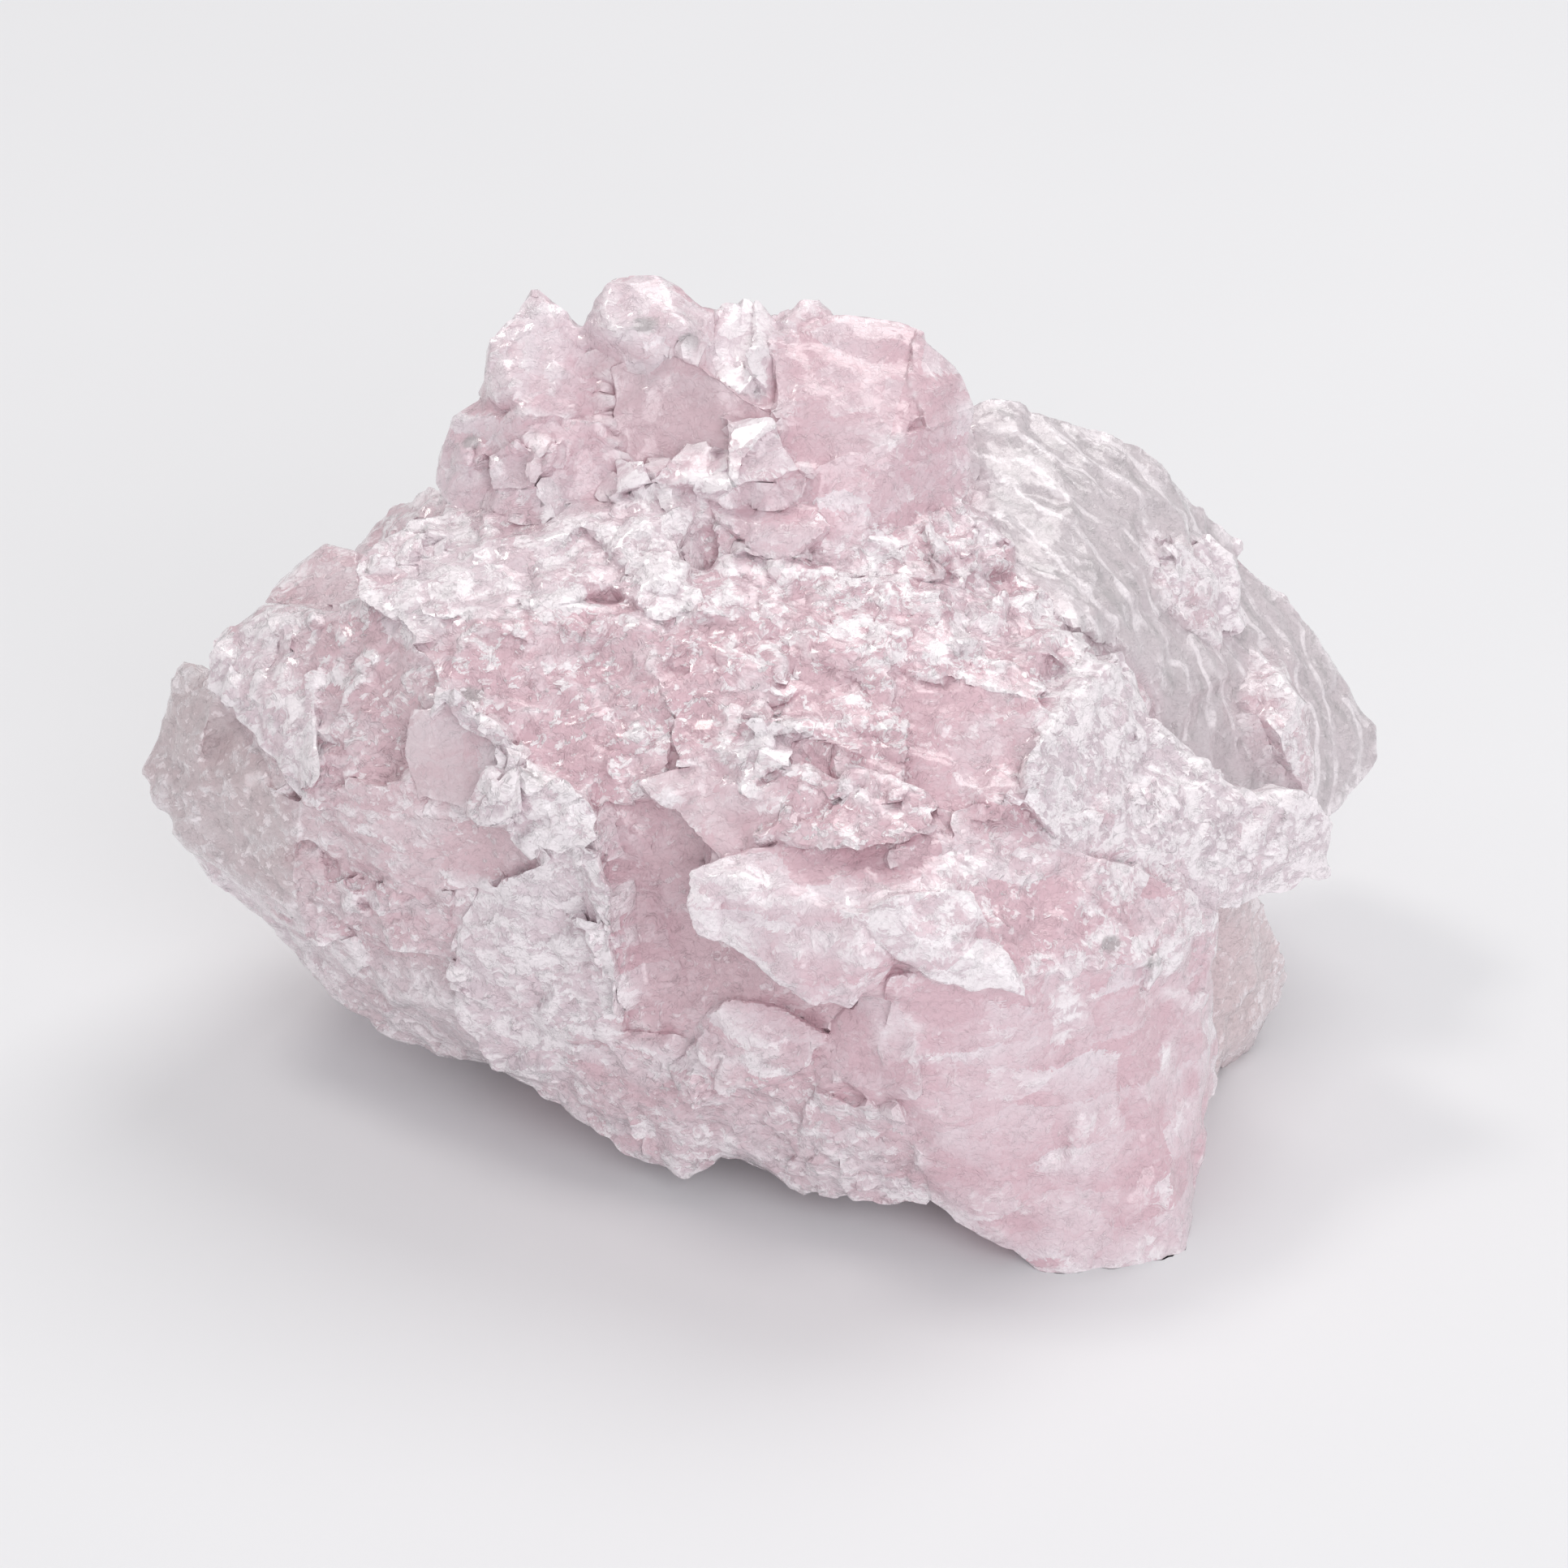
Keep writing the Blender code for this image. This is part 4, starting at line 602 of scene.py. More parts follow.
def mesh_of(name, points, quads, triangles):
    """A mesh from arrays of points and of four-sided and three-sided faces."""
    corners = np.concatenate((quads.ravel(), triangles.ravel())).astype(np.int32)
    sizes = np.concatenate((np.full(len(quads), 4), np.full(len(triangles), 3)))
    starts = np.concatenate(((0,), np.cumsum(sizes)[:-1])).astype(np.int32)
    mesh = bpy.data.meshes.new(name)
    mesh.vertices.add(len(points))
    mesh.vertices.foreach_set("co", np.ascontiguousarray(points, np.float32).ravel())
    mesh.loops.add(len(corners))
    mesh.loops.foreach_set("vertex_index", corners)
    mesh.polygons.add(len(sizes))
    mesh.polygons.foreach_set("loop_start", starts)
    mesh.update(calc_edges=True)
    return mesh


def back_blocks(chance):
    """Corners of the coarse blocks over the broken back, spread evenly over half an egg shell.

    The angle round the piece goes by golden turns and the height by equal steps. A
    block's own corners lie on a squat ball, along a spiral.
    """
    level = 1.0 - 2.0 * (np.arange(BACK_CORNERS) + 0.5) / BACK_CORNERS
    ring = np.sqrt(1.0 - level ** 2)
    spiral = math.tau * GOLDEN * np.arange(BACK_CORNERS)
    ball = np.stack((ring * np.cos(spiral), ring * np.sin(spiral), level), axis=-1) * BACK_FORM
    made = []
    for number in range(BACK_COUNT):
        angle = math.radians(BACK_TURN[0] + BACK_TURN[1] * ((number * GOLDEN) % 1.0))
        rise = math.radians(BACK_RISE[0] + BACK_RISE[1] * (number + 0.5) / BACK_COUNT)
        way = Vector((math.cos(angle) * math.cos(rise), math.sin(angle) * math.cos(rise),
                      math.sin(rise)))
        upright = way.to_track_quat("Z", "Y").to_matrix()
        turn = Matrix.Rotation(chance.uniform(0.0, math.tau), 3, "Z")
        size = BACK_SIZE * chance.uniform(*BACK_SIZES)
        spread = np.array([chance.uniform(*BACK_SPREADS) for _ in range(BACK_CORNERS)])
        turned = (ball * size * spread[:, None]) @ np.array(upright @ turn).T
        made.append(BACK_MIDDLE + BACK_REACH * np.array(way) + turned)
    return made


def small_bits(blocks, chance):
    """Broken bits over the rough faces: each is the solid round ten corners strewn in a low
    egg, laid on the face by its normal and turned across the grain, with a little chance."""
    made = []
    for name, finish, facets, middle in blocks:
        count, length, width = BITS.get(finish, (0, 0.0, 0.0))
        front = block_surface(facets, middle, BIT_ROWS, 2 * BIT_ROWS).reshape(-1, 3)
        normal = facets[(front @ facets[:, :3].T - facets[:, 3]).argmax(axis=1), :3]
        outer = np.flatnonzero(normal @ AWAY < BIT_FACING)
        for root in chance.choice(outer, count) if count else ():
            form = (length, width, BIT_FLATNESS * width)
            egg = unit(chance.normal(0.0, 1.0, (BIT_CORNERS, 3))) * form
            egg *= chance.uniform(*BIT_SIZES)
            up = unit(normal[root] + chance.normal(0.0, BIT_LEAN, 3))
            along = unit(np.cross(up, GRAIN + chance.normal(0.0, BIT_TURN, 3)))
            turned = egg @ np.vstack((np.cross(along, up), along, up))
            made.append((name + "_bit", finish, front[root] + turned))
    return made


def all_blocks():
    """Every block as its name, its finish, its facets and its middle."""
    chance = random.Random(CORNER_SEED)
    shapes = [(name, finish, block_corners(depth, taper, face, chance))
              for name, finish, depth, taper, face in BLOCKS]
    shapes += [("behind", "back", corners) for corners in back_blocks(random.Random(BACK_SEED))]
    blocks = [(name, finish, hull_planes(corners), corners.mean(axis=0))
              for name, finish, corners in shapes]
    grown = small_bits(blocks[:len(BLOCKS)], np.random.default_rng(BIT_SEED))
    return blocks + [(name, finish, hull_planes(corners), corners.mean(axis=0))
                     for name, finish, corners in grown]


def joined_skin(blocks):
    """One closed skin round all the blocks, as an evenly grained mesh."""
    points, quads, triangles = [], [], []
    count = 0
    for _, _, facets, middle in blocks:
        rows = COARSE_ROWS if len(facets) < PLAIN_BLOCK else FINE_ROWS
        four, three = closed_faces(rows, 2 * rows)
        grid = block_surface(facets, middle, rows, 2 * rows)
        points.append(np.vstack((grid[:1, 0], grid[1:-1].reshape(-1, 3), grid[-1:, 0])))
        quads.append(four + count)
        triangles.append(three + count)
        count += len(points[-1])
    mesh = mesh_of("skin", np.vstack(points), np.vstack(quads), np.vstack(triangles))
    mesh = remeshed(mesh, VOXEL)
    for swell in (GAP_FILL, -GAP_FILL):
        set_points(mesh, read_points(mesh) + read_normals(mesh) * swell)
        mesh = remeshed(mesh, VOXEL)
    return mesh


def remeshed(mesh, voxel):
    """The same closed shape as one evenly grained skin, without what lies inside it."""
    skin = bpy.data.objects.new("skin", mesh)
    bpy.context.scene.collection.objects.link(skin)
    join = skin.modifiers.new("join", "REMESH")
    join.mode = "VOXEL"
    join.voxel_size = voxel
    graph = bpy.context.evaluated_depsgraph_get()
    whole = bpy.data.meshes.new_from_object(skin.evaluated_get(graph))
    bpy.data.objects.remove(skin, do_unlink=True)
    return whole


# ---------------------------------------------------------------- pressing the skin onto facets

def largest_shell(mesh):
    """Keep the outer shell alone: the gaps sealed inside the stone are filled."""
    bm = bmesh.new()
    bm.from_mesh(mesh)
    bm.verts.ensure_lookup_table()
    edges = np.array([(edge.verts[0].index, edge.verts[1].index) for edge in bm.edges])
    label = np.arange(len(bm.verts))
    while True:
        least = np.minimum(label[edges[:, 0]], label[edges[:, 1]])
        before = label.copy()
        np.minimum.at(label, edges[:, 0], least)
        np.minimum.at(label, edges[:, 1], least)
        label = label[label]
        if (label == before).all():
            break
    main = np.bincount(label).argmax()
    bmesh.ops.delete(bm, geom=[bm.verts[k] for k in np.flatnonzero(label != main)], context="VERTS")
    bm.to_mesh(mesh)
    bm.free()


def read_points(mesh):
    """A mesh's points."""
    flat = np.empty(len(mesh.vertices) * 3, np.float32)
    mesh.vertices.foreach_get("co", flat)
    return flat.reshape(-1, 3).astype(np.float64)


def read_edges(mesh):
    """The two ends of each of a mesh's edges."""
    flat = np.empty(len(mesh.edges) * 2, np.int32)
    mesh.edges.foreach_get("vertices", flat)
    return flat.reshape(-1, 2)


def read_normals(mesh):
    """A mesh's normals at its points."""
    flat = np.empty(len(mesh.vertices) * 3, np.float32)
    mesh.vertex_normals.foreach_get("vector", flat)
    return flat.reshape(-1, 3).astype(np.float64)


def nearest_facets(points, blocks):
    """For each point, its height over the joined blocks, and the block and facet it follows.

    A block's height over a point is the greatest of (normal . point - reach) over its
    facets, and the joined surface follows the block whose height is least.
    """
    facets = np.vstack([block[2] for block in blocks]).astype(np.float32)
    counts = np.array([len(block[2]) for block in blocks])
    starts = np.concatenate(((0,), np.cumsum(counts)[:-1]))
    owner = np.repeat(np.arange(len(blocks)), counts)
    chosen = np.empty(len(points), np.int64)
    off = np.empty(len(points))
    for low in range(0, len(points), CHUNK):
        part = points[low:low + CHUNK].astype(np.float32)
        height = part @ facets[:, :3].T - facets[:, 3]
        over = np.maximum.reduceat(height, starts, axis=1)
        block = over.argmin(axis=1)
        off[low:low + CHUNK] = over.min(axis=1)
        inside = owner[None, :] == block[:, None]
        chosen[low:low + CHUNK] = np.where(inside, height, -np.inf).argmax(axis=1)
    return off, owner[chosen], facets[chosen].astype(np.float64)


def neighbour_sum(values, edges, count):
    """Sum of the neighbours' values at each point."""
    columns = values.reshape(count, -1)
    total = [np.bincount(edges[:, 0], columns[edges[:, 1], k], count)
             + np.bincount(edges[:, 1], columns[edges[:, 0], k], count)
             for k in range(columns.shape[1])]
    return np.stack(total, axis=-1).reshape(values.shape)


def press(points, normal, reach, edges, outward, hold):
    """Move each point to where its own facet meets its neighbours' facets.

    It goes where the sum, over its own and its neighbours' facets, of the squares of
    (normal . point - reach) is least, plus hold times the square of its move along the
    skin, so that points don't slide over each other.
    """
    count = len(points)
    square = normal[:, :, None] * normal[:, None, :]
    pull = normal * reach[:, None]
    square = 2.0 * square + neighbour_sum(square, edges, count)
    pull = 2.0 * pull + neighbour_sum(pull, edges, count)
    along = hold * (np.eye(3) - outward[:, :, None] * outward[:, None, :]) + KEEP_SOUND * np.eye(3)
    square += along
    pull += (along @ points[..., None])[..., 0]
    moved = np.linalg.solve(square, pull[..., None])[..., 0] - points
    far = np.linalg.norm(moved, axis=1, keepdims=True)
    return points + moved * np.minimum(1.0, LONGEST_MOVE / np.maximum(far, 1e-9))


def break_facets(points, normal, reach, size, tilt, step, amount, channel):
    """Tilt and shift the facets cell by cell, as quartz breaks into small flat faces.

    Each cell has its own plane: its normal leans by a random vector times tilt, and it
    goes through the cell's seed, laid onto the old facet and moved by up to step.
    """
    sway = np.stack([cloud(points, size * BREAK_SWAY[0], channel + 40 + k) for k in range(3)], axis=-1)
    swayed = points + BREAK_SWAY[1] * size * sway
    seed, home = cells(swayed, size, channel)
    lean = np.stack([scramble(home, channel + 10 + k) for k in range(3)], axis=-1) * 2.0 - 1.0
    shift = scramble(home, channel + 20) * 2.0 - 1.0
    foot = seed - normal * ((seed * normal).sum(axis=1) - reach)[:, None]
    foot = foot + normal * (shift * step * amount)[:, None]
    leaning = unit(normal + lean * (tilt * amount)[:, None])
    return leaning, (leaning * foot).sum(axis=1), scramble(home, channel + 30)


def hollow_depth(points, names):
    """How deep each point lies in its block's hollow: depth times 1 - (distance / reach)^2."""
    depth = np.zeros(len(points))
    for name, middle, reach, deepest in HOLLOWS:
        far = np.linalg.norm(points - np.array(middle), axis=1) / reach
        depth += np.where(names == name, deepest * np.clip(1.0 - far ** 2, 0.0, None), 0.0)
    return depth


def ripple_lift(points, names, edges):
    """How high the shell-like ripples stand: height times (1 - |2 f - 1|)^2, with f the
    fraction of the distance from their middle over their spacing, swayed by two noises.
    They lie only on the blocks named, and fade at their borders."""
    lift = np.zeros(len(points))
    wide, close = RIPPLE_SWAY
    sway = wide[1] * cloud(points, wide[0], 400) + close[1] * cloud(points, close[0], 410)
    for beginning, middle, spacing, height in RIPPLES:
        here = eased(np.char.startswith(names, beginning) * 1.0, edges, len(points), 6)
        turn = np.linalg.norm(points - np.array(middle), axis=1) / spacing + sway
        lift += here * height * (1.0 - np.abs(2.0 * (turn - np.floor(turn)) - 1.0)) ** 2
    return lift


def patch_mark(points, patches):
    """Small patches of one kind: the highest of 1 - (distance / reach)^2 over the patches."""
    mark = np.zeros(len(points))
    for middle, reach in patches:
        far = ((points - np.array(middle)) / np.array(reach)) ** 2
        mark = np.maximum(mark, 1.0 - far.sum(axis=1))
    return mark


def broken_skin(mesh, facet, off, names, rough):
    """Press the skin onto its facets, broken into large and small cleavage faces, and grow
    ripples, crumbs and grit on it. Gives the new points and the tones of the faces."""
    points, edges = read_points(mesh), read_edges(mesh)
    small = np.char.endswith(names, "_bit")
    healed = (off > HEALED_OVER)[:, None]
    normal = np.where(healed, read_normals(mesh), facet[:, :3])
    reach = np.where(healed[:, 0], (normal * points).sum(axis=1), facet[:, 3])
    swell = np.where(small, 0.0, WIDE_SWELL[1]) * clouds(points, WIDE_SWELL[0], 2, 1)
    reach = reach + swell - hollow_depth(points, names)
    break_up = np.where(small, 0.0, rough)
    amount = ALWAYS_BROKEN * ~small + (1.0 - ALWAYS_BROKEN) * break_up
    normal, reach, tone = break_facets(points, normal, reach, *LARGE_BREAK, amount, 100)
    normal, reach, fine_tone = break_facets(points, normal, reach, *SMALL_BREAK, break_up, 200)
    for hold in HOLDS:
        points = press(points, normal, reach, edges, read_normals(mesh), hold)
        set_points(mesh, points)
    points = eased(points, edges, len(points), SOFTEN)
    set_points(mesh, points)
    crumb = CRUMB[1] * rough * (1.0 - 2.0 * np.abs(cloud(points, CRUMB[0], 300)))
    grit = GRIT[1] * (0.15 + rough) * clouds(points, GRIT[0], 2, 310)
    lift = crumb + grit + ripple_lift(points, names, edges)
    points += read_normals(mesh) * lift[:, None]
    return points, tone, fine_tone


def block_borders(block, edges):
    """1 where a point's neighbours don't all follow the same block as it does, else 0."""
    count = len(block)
    around = neighbour_sum(block * 1.0, edges, count)
    return (around != block * neighbour_sum(np.ones(count), edges, count)) * 1.0


def shaped_skin(blocks):
    """The stone's skin with its facets, small breaks, hollows and grain, and its marks."""
    mesh = joined_skin(blocks)
    largest_shell(mesh)
    off, block, facet = nearest_facets(read_points(mesh), blocks)
    finish = np.array([FINISHES[item[1]] for item in blocks])[block]
    names = np.array([item[0] for item in blocks])[block]
    points, tone, fine_tone = broken_skin(mesh, facet, off, names, finish[:, 0])
    set_points(mesh, points)
    marks = {key: finish[:, k] for k, key in enumerate(FINISH_KEYS)}
    marks["tone"] = tone
    marks["fine_tone"] = fine_tone
    # White bruises, and a few small strokes of painted glint.
    marks["white"] = patch_mark(points, WHITE_BRUISES_AND_GLINTS)
    marks["dark"] = patch_mark(points, DARK_PATCHES)
    marks["deep"] = patch_mark(points, DEEP_PATCHES)
    # Borders of blocks, later painted as thin highlights.
    marks["rim"] = block_borders(block, read_edges(mesh))
    for key, values in marks.items():
        write_mark(mesh, key, values)
    return thinned(mesh)


def set_points(mesh, points):
    """Give a mesh new points."""
    mesh.vertices.foreach_set("co", np.ascontiguousarray(points, np.float32).ravel())
    mesh.update()


def thinned(mesh):
    """The same skin with fewer triangles where it is flat."""
    stone = bpy.data.objects.new("stone", mesh)
    bpy.context.scene.collection.objects.link(stone)
    faces = sum(len(polygon.vertices) - 2 for polygon in mesh.polygons)
    thin = stone.modifiers.new("thin", "DECIMATE")
    thin.ratio = min(1.0, MOST_TRIANGLES / faces)
    graph = bpy.context.evaluated_depsgraph_get()
    whole = bpy.data.meshes.new_from_object(stone.evaluated_get(graph))
    bpy.data.objects.remove(stone, do_unlink=True)
    return whole


def eased(values, edges, count, times):
    """Values averaged with their neighbours' a number of times."""
    ends = np.maximum(neighbour_sum(np.ones(count), edges, count), 1.0)
    for _ in range(times):
        around = neighbour_sum(values, edges, count)
        around /= ends if values.ndim == 1 else ends[:, None]
        values = 0.5 * values + 0.5 * around
    return values


def read_mark(mesh, name):
    """One of a mesh's marks, a number to each point."""
    values = np.empty(len(mesh.vertices), np.float32)
    mesh.attributes[name].data.foreach_get("value", values)
    return values.astype(np.float64)


def write_mark(mesh, name, values):
    """Put a mark on a mesh, a number from 0 to 1 to each point."""
    mark = mesh.attributes.get(name) or mesh.attributes.new(name, "FLOAT", "POINT")
    mark.data.foreach_set("value", np.clip(values, 0.0, 1.0).astype(np.float32))


def standing_out(points, edges, outward, rounds):
    """How far each point stands out from the skin when that is eased a number of rounds."""
    return ((points - eased(points, edges, len(points), rounds)) * outward).sum(axis=1)


def portion(values, whole):
    """Values over a whole, kept from 0 to 1."""
    return np.clip(values / whole, 0.0, 1.0)


def mark_edges(mesh):
    """Marks from the shape: ridge and crease are how far a point stands out from the eased
    skin or sinks in it, near by and more widely, the painted glow is the same over whole blocks
    and is used as painted light, paler where the stone bulges and deeper pink in its hollows,
    and rim is a border of blocks that stands out, painted as a thin highlight."""
    points, edges, outward = read_points(mesh), read_edges(mesh), read_normals(mesh)
    count = len(points)
    near = standing_out(points, edges, outward, NEAR_ROUNDS)
    wide = standing_out(points, edges, outward, WIDE_ROUNDS)
    broad = standing_out(points, edges, outward, BROAD_ROUNDS)
    ridge = 0.6 * portion(near, NEAR_WHOLE) + 0.6 * portion(wide, WIDE_WHOLE)
    crease = 0.5 * portion(-near, NEAR_WHOLE) + 0.7 * portion(-wide, WIDE_WHOLE)
    write_mark(mesh, "ridge", eased(ridge, edges, count, 1))
    write_mark(mesh, "crease", eased(crease, edges, count, 1))
    # Painted glow: how far the skin bulges over whole blocks. The colour is painted paler where it bulges
    # and deeper pink in hollows, as light through thin quartz and shade in hollows.
    write_mark(mesh, "painted_glow", eased(0.5 + broad / BROAD_WHOLE, edges, count, 4))
    # Painted highlight: a thin white line on the borders of blocks that stand out.
    rim = read_mark(mesh, "rim") * portion(near, RIM_HIGHLIGHT_WHOLE)
    write_mark(mesh, "rim", RIM_HIGHLIGHT_GAIN * eased(rim, edges, count, 1))
    for key in FINISH_KEYS:
        write_mark(mesh, key, eased(read_mark(mesh, key), edges, count, MERGE[key]))


# ---------------------------------------------------------------- the quartz's finish

class Nodes:
    """A material's nodes, with its short ways to make them."""

    def __init__(self, name):
        """A new material: its tree, its shader, and the place on the piece, in metres."""
        self.material = bpy.data.materials.new(name)
        self.material.use_nodes = True
        self.tree = self.material.node_tree
        self.shader = self.tree.nodes["Principled BSDF"]
        self.place = self.new("ShaderNodeTexCoord").outputs["Object"]

    def new(self, kind, **settings):
        """A node of a kind, with its settings."""
        node = self.tree.nodes.new(kind)
        for key, value in settings.items():
            setattr(node, key, value)
        return node

    def put(self, socket, value):
        """Link another node's output to a socket, or set the socket's own value."""
        if isinstance(value, bpy.types.NodeSocket):
            self.tree.links.new(value, socket)
        else:
            socket.default_value = value

    def finish(self, name, value):
        """Put a value on one of the shader's sockets."""
        self.put(self.shader.inputs[name], value)

    def sum(self, operation, *values):
        """One piece of arithmetic on values."""
        node = self.new("ShaderNodeMath", operation=operation)
        for socket, value in zip(node.inputs, values):
            self.put(socket, value)
        return node.outputs[0]

    def times(self, a, b):
        """a times b."""
        return self.sum("MULTIPLY", a, b)

    def mark(self, name):
        """One of the marks on the skin's points."""
        return self.new("ShaderNodeAttribute", attribute_name=name).outputs["Fac"]

    def noise(self, size_mm, detail, roughness, distortion=0.0):
        """Cloudy noise from 0 to 1 of a size in millimetres."""
        node = self.new("ShaderNodeTexNoise")
        self.put(node.inputs["Vector"], self.place)
        for key, value in (("Scale", 1.0 / (size_mm * MM)), ("Detail", detail), ("Roughness", roughness),
                           ("Distortion", distortion)):
            node.inputs[key].default_value = value
        return node.outputs["Fac"]

    def total(self, *shares, clamp=False):
        """Values times their shares, summed."""
        whole = 0.0
        for value, part in shares:
            node = self.new("ShaderNodeMath", operation="MULTIPLY_ADD")
            for socket, number in zip(node.inputs, (value, part, whole)):
                self.put(socket, number)
            whole = node.outputs[0]
        node.use_clamp = clamp
        return whole

    def combined(self, x, y, z):
        """A vector from three values."""
        node = self.new("ShaderNodeCombineXYZ")
        for socket, value in zip(node.inputs, (x, y, z)):
            self.put(socket, value)
        return node.outputs[0]

    def vectors(self, operation, a, b, output="Vector"):
        """One piece of arithmetic on vectors."""
        node = self.new("ShaderNodeVectorMath", operation=operation)
        self.put(node.inputs[0], a)
        self.put(node.inputs["Scale"] if operation == "SCALE" else node.inputs[1], b)
        return node.outputs[output]

    def centred(self, value):
        """A value from 0 to 1, moved so that its middle is 0."""
        return self.sum("SUBTRACT", value, 0.5)

    def ease(self, value, low, high, to_low=0.0, to_high=1.0):
        """A soft step: to_low up to low, to_high from high on."""
        node = self.new("ShaderNodeMapRange", interpolation_type="SMOOTHSTEP")
        for socket, number in zip(node.inputs, (value, low, high, to_low, to_high)):
            self.put(socket, number)
        return node.outputs[0]

    def blend(self, share_of_b, a, b):
        """Colour a, with a share of colour b."""
        node = self.new("ShaderNodeMix", data_type="RGBA")
        self.put(node.inputs["Factor"], share_of_b)
        self.put(node.inputs[6], a)
        self.put(node.inputs[7], b)
        return node.outputs[2]


PALE_ROSE = (0.850, 0.735, 0.785, 1.0)
DEEP_ROSE = (0.740, 0.500, 0.560, 1.0)
FROST_WHITE = (0.990, 0.915, 0.945, 1.0)
FROST_SHADE = (0.720, 0.605, 0.655, 1.0)
SMOKE_GREY = (0.610, 0.552, 0.572, 1.0)
SMOKE_DARK = (0.440, 0.405, 0.415, 1.0)
TEA_BROWN = (0.780, 0.645, 0.640, 1.0)

# The sizes of the quartz's own patterns, in millimetres.
WIDE_CLOUD = 8.0
VEIL = 2.6
MOTTLE = 0.85
CELL = 0.30
SHARD = 1.15
INNER_FACE = 3.4
SWAY = 1.1                                  # how far the noises bend the little faces
LIE = (0.8, 1.0, 1.3)                       # the little faces are longer across and flatter
INNER_LIE = (0.8, 0.8, 1.2)
WAVE_MIDDLE = (3.95, -9.16, 24.0)           # the waves on the grey flank run round this place
WAVE = {"Scale": 0.17, "Distortion": 6.5, "Detail": 2.0, "Detail Scale": 1.6, "Detail Roughness": 0.55}
QUARTZ_IOR = 1.54

# Heights of the finest grain, in metres: of the little faces, where it is rough and where it
# is smooth, and of the mottle.
CELL_BUMP = 0.16 * MM
SMOOTH_CELL_BUMP = 0.02 * MM
MOTTLE_BUMP = 0.10 * MM


def little_faces(n, place, size_mm):
    """Flat little faces, one to each strewn cell: a slope, which is the way from the cell's
    middle dotted with a random lean, over the cell's size, and a random tone."""
    cell = n.new("ShaderNodeTexVoronoi")
    n.put(cell.inputs["Vector"], place)
    cell.inputs["Scale"].default_value = 1.0 / size_mm
    off = n.vectors("SUBTRACT", place, cell.outputs["Position"])
    lean = n.vectors("SUBTRACT", cell.outputs["Color"], (0.5, 0.5, 0.5))
    slope = n.vectors("DOT_PRODUCT", off, lean, output="Value")
    tone = n.new("ShaderNodeSeparateColor")
    n.put(tone.inputs[0], cell.outputs["Color"])
    return n.times(slope, 1.0 / size_mm), tone.outputs[0]


def shell_waves(n, place):
    """Swayed rings round one middle, a sine of the distance from 0 to 1."""
    ring = n.new("ShaderNodeTexWave", wave_type="RINGS", rings_direction="SPHERICAL")
    n.put(ring.inputs["Vector"], n.vectors("SUBTRACT", place, WAVE_MIDDLE))
    for key, value in WAVE.items():
        ring.inputs[key].default_value = value
    return ring.outputs["Fac"]


class QuartzLook:
    """The patterns that the quartz's colours, grain and gloss share."""

    def __init__(self, n):
        """The marks on the skin, the noises, and the small and large inner faces."""
        for key in (*FINISH_KEYS, "ridge", "crease", "rim", "white", "deep", "dark"):
            setattr(self, key, n.mark(key))
        # The painted glow: paler where the stone bulges, deeper pink in its hollows.
        self.painted_glow = n.centred(n.mark("painted_glow"))
        self.tone = n.centred(n.mark("tone"))
        self.fine_tone = n.centred(n.mark("fine_tone"))
        self.wide = n.noise(WIDE_CLOUD, 1.0, 0.5, 0.3)
        self.veil = n.noise(VEIL, 5.0, 0.70, 0.5)
        self.mottle = n.noise(MOTTLE, 3.0, 0.68, 2.0)
        self.veil_play = n.centred(self.veil)
        self.mottle_play = n.centred(self.mottle)
        place = n.vectors("SCALE", n.place, 1.0 / MM)
        bend = n.vectors("SCALE", n.combined(self.mottle, self.veil, self.mottle), SWAY)
        bent = n.vectors("MULTIPLY", n.vectors("ADD", place, bend), LIE)
        inner_place = n.vectors("MULTIPLY", bent, INNER_LIE)
        self.cell_slope, self.cell_tone = little_faces(n, bent, CELL)
        self.inner_slope, inner_tone = little_faces(n, inner_place, INNER_FACE)
        self.inner_tone = n.centred(inner_tone)
        shard_slope, _ = little_faces(n, bent, SHARD)
        self.shard_slope = n.times(shard_slope, n.ease(self.rough, 0.0, 0.7, 0.35, 1.0))
        self.wave = shell_waves(n, place)
        self.on_flank = n.ease(self.smoke, 0.45, 0.80)


def milk_share(n, q):
    """How milky a place is: frost, ridges, white bruises and painted glints with the noises, the
    inner faces and the painted glow, milkier where the stone bulges, stirred in, less on smooth
    faces, and then a soft step that is harder where it is rough."""
    # The painted glow makes bulges milkier.
    stir = n.total((q.veil_play, 1.7), (q.mottle_play, 2.0), (q.inner_slope, 0.8), (q.inner_tone, 0.20),
                   (q.shard_slope, 1.3), (q.painted_glow, 0.6), (q.fine_tone, 0.22))
    stir = n.times(stir, n.ease(q.rough, 0.15, 0.55, 0.62, 1.0))
    milk = n.total((q.frost, 0.85), (stir, 1.0), (q.ridge, 0.30), (q.white, 0.8), (q.deep, -0.6))
    low = n.ease(q.rough, 0.3, 0.8, 0.18, 0.36)
    high = n.ease(q.rough, 0.3, 0.8, 0.95, 0.74)
    return n.ease(milk, low, high)


def frost_colour(n, q):
    """White bruised quartz: from its shade to its white by noise and inner faces."""
    white = n.total((q.mottle, 1.1), (q.veil, 0.5), (q.ridge, 0.30), (n.centred(q.cell_tone), 0.30),
                    (q.shard_slope, 1.5), (q.inner_slope, 0.6))
    return n.blend(n.ease(white, 0.61, 0.90), FROST_SHADE, FROST_WHITE)


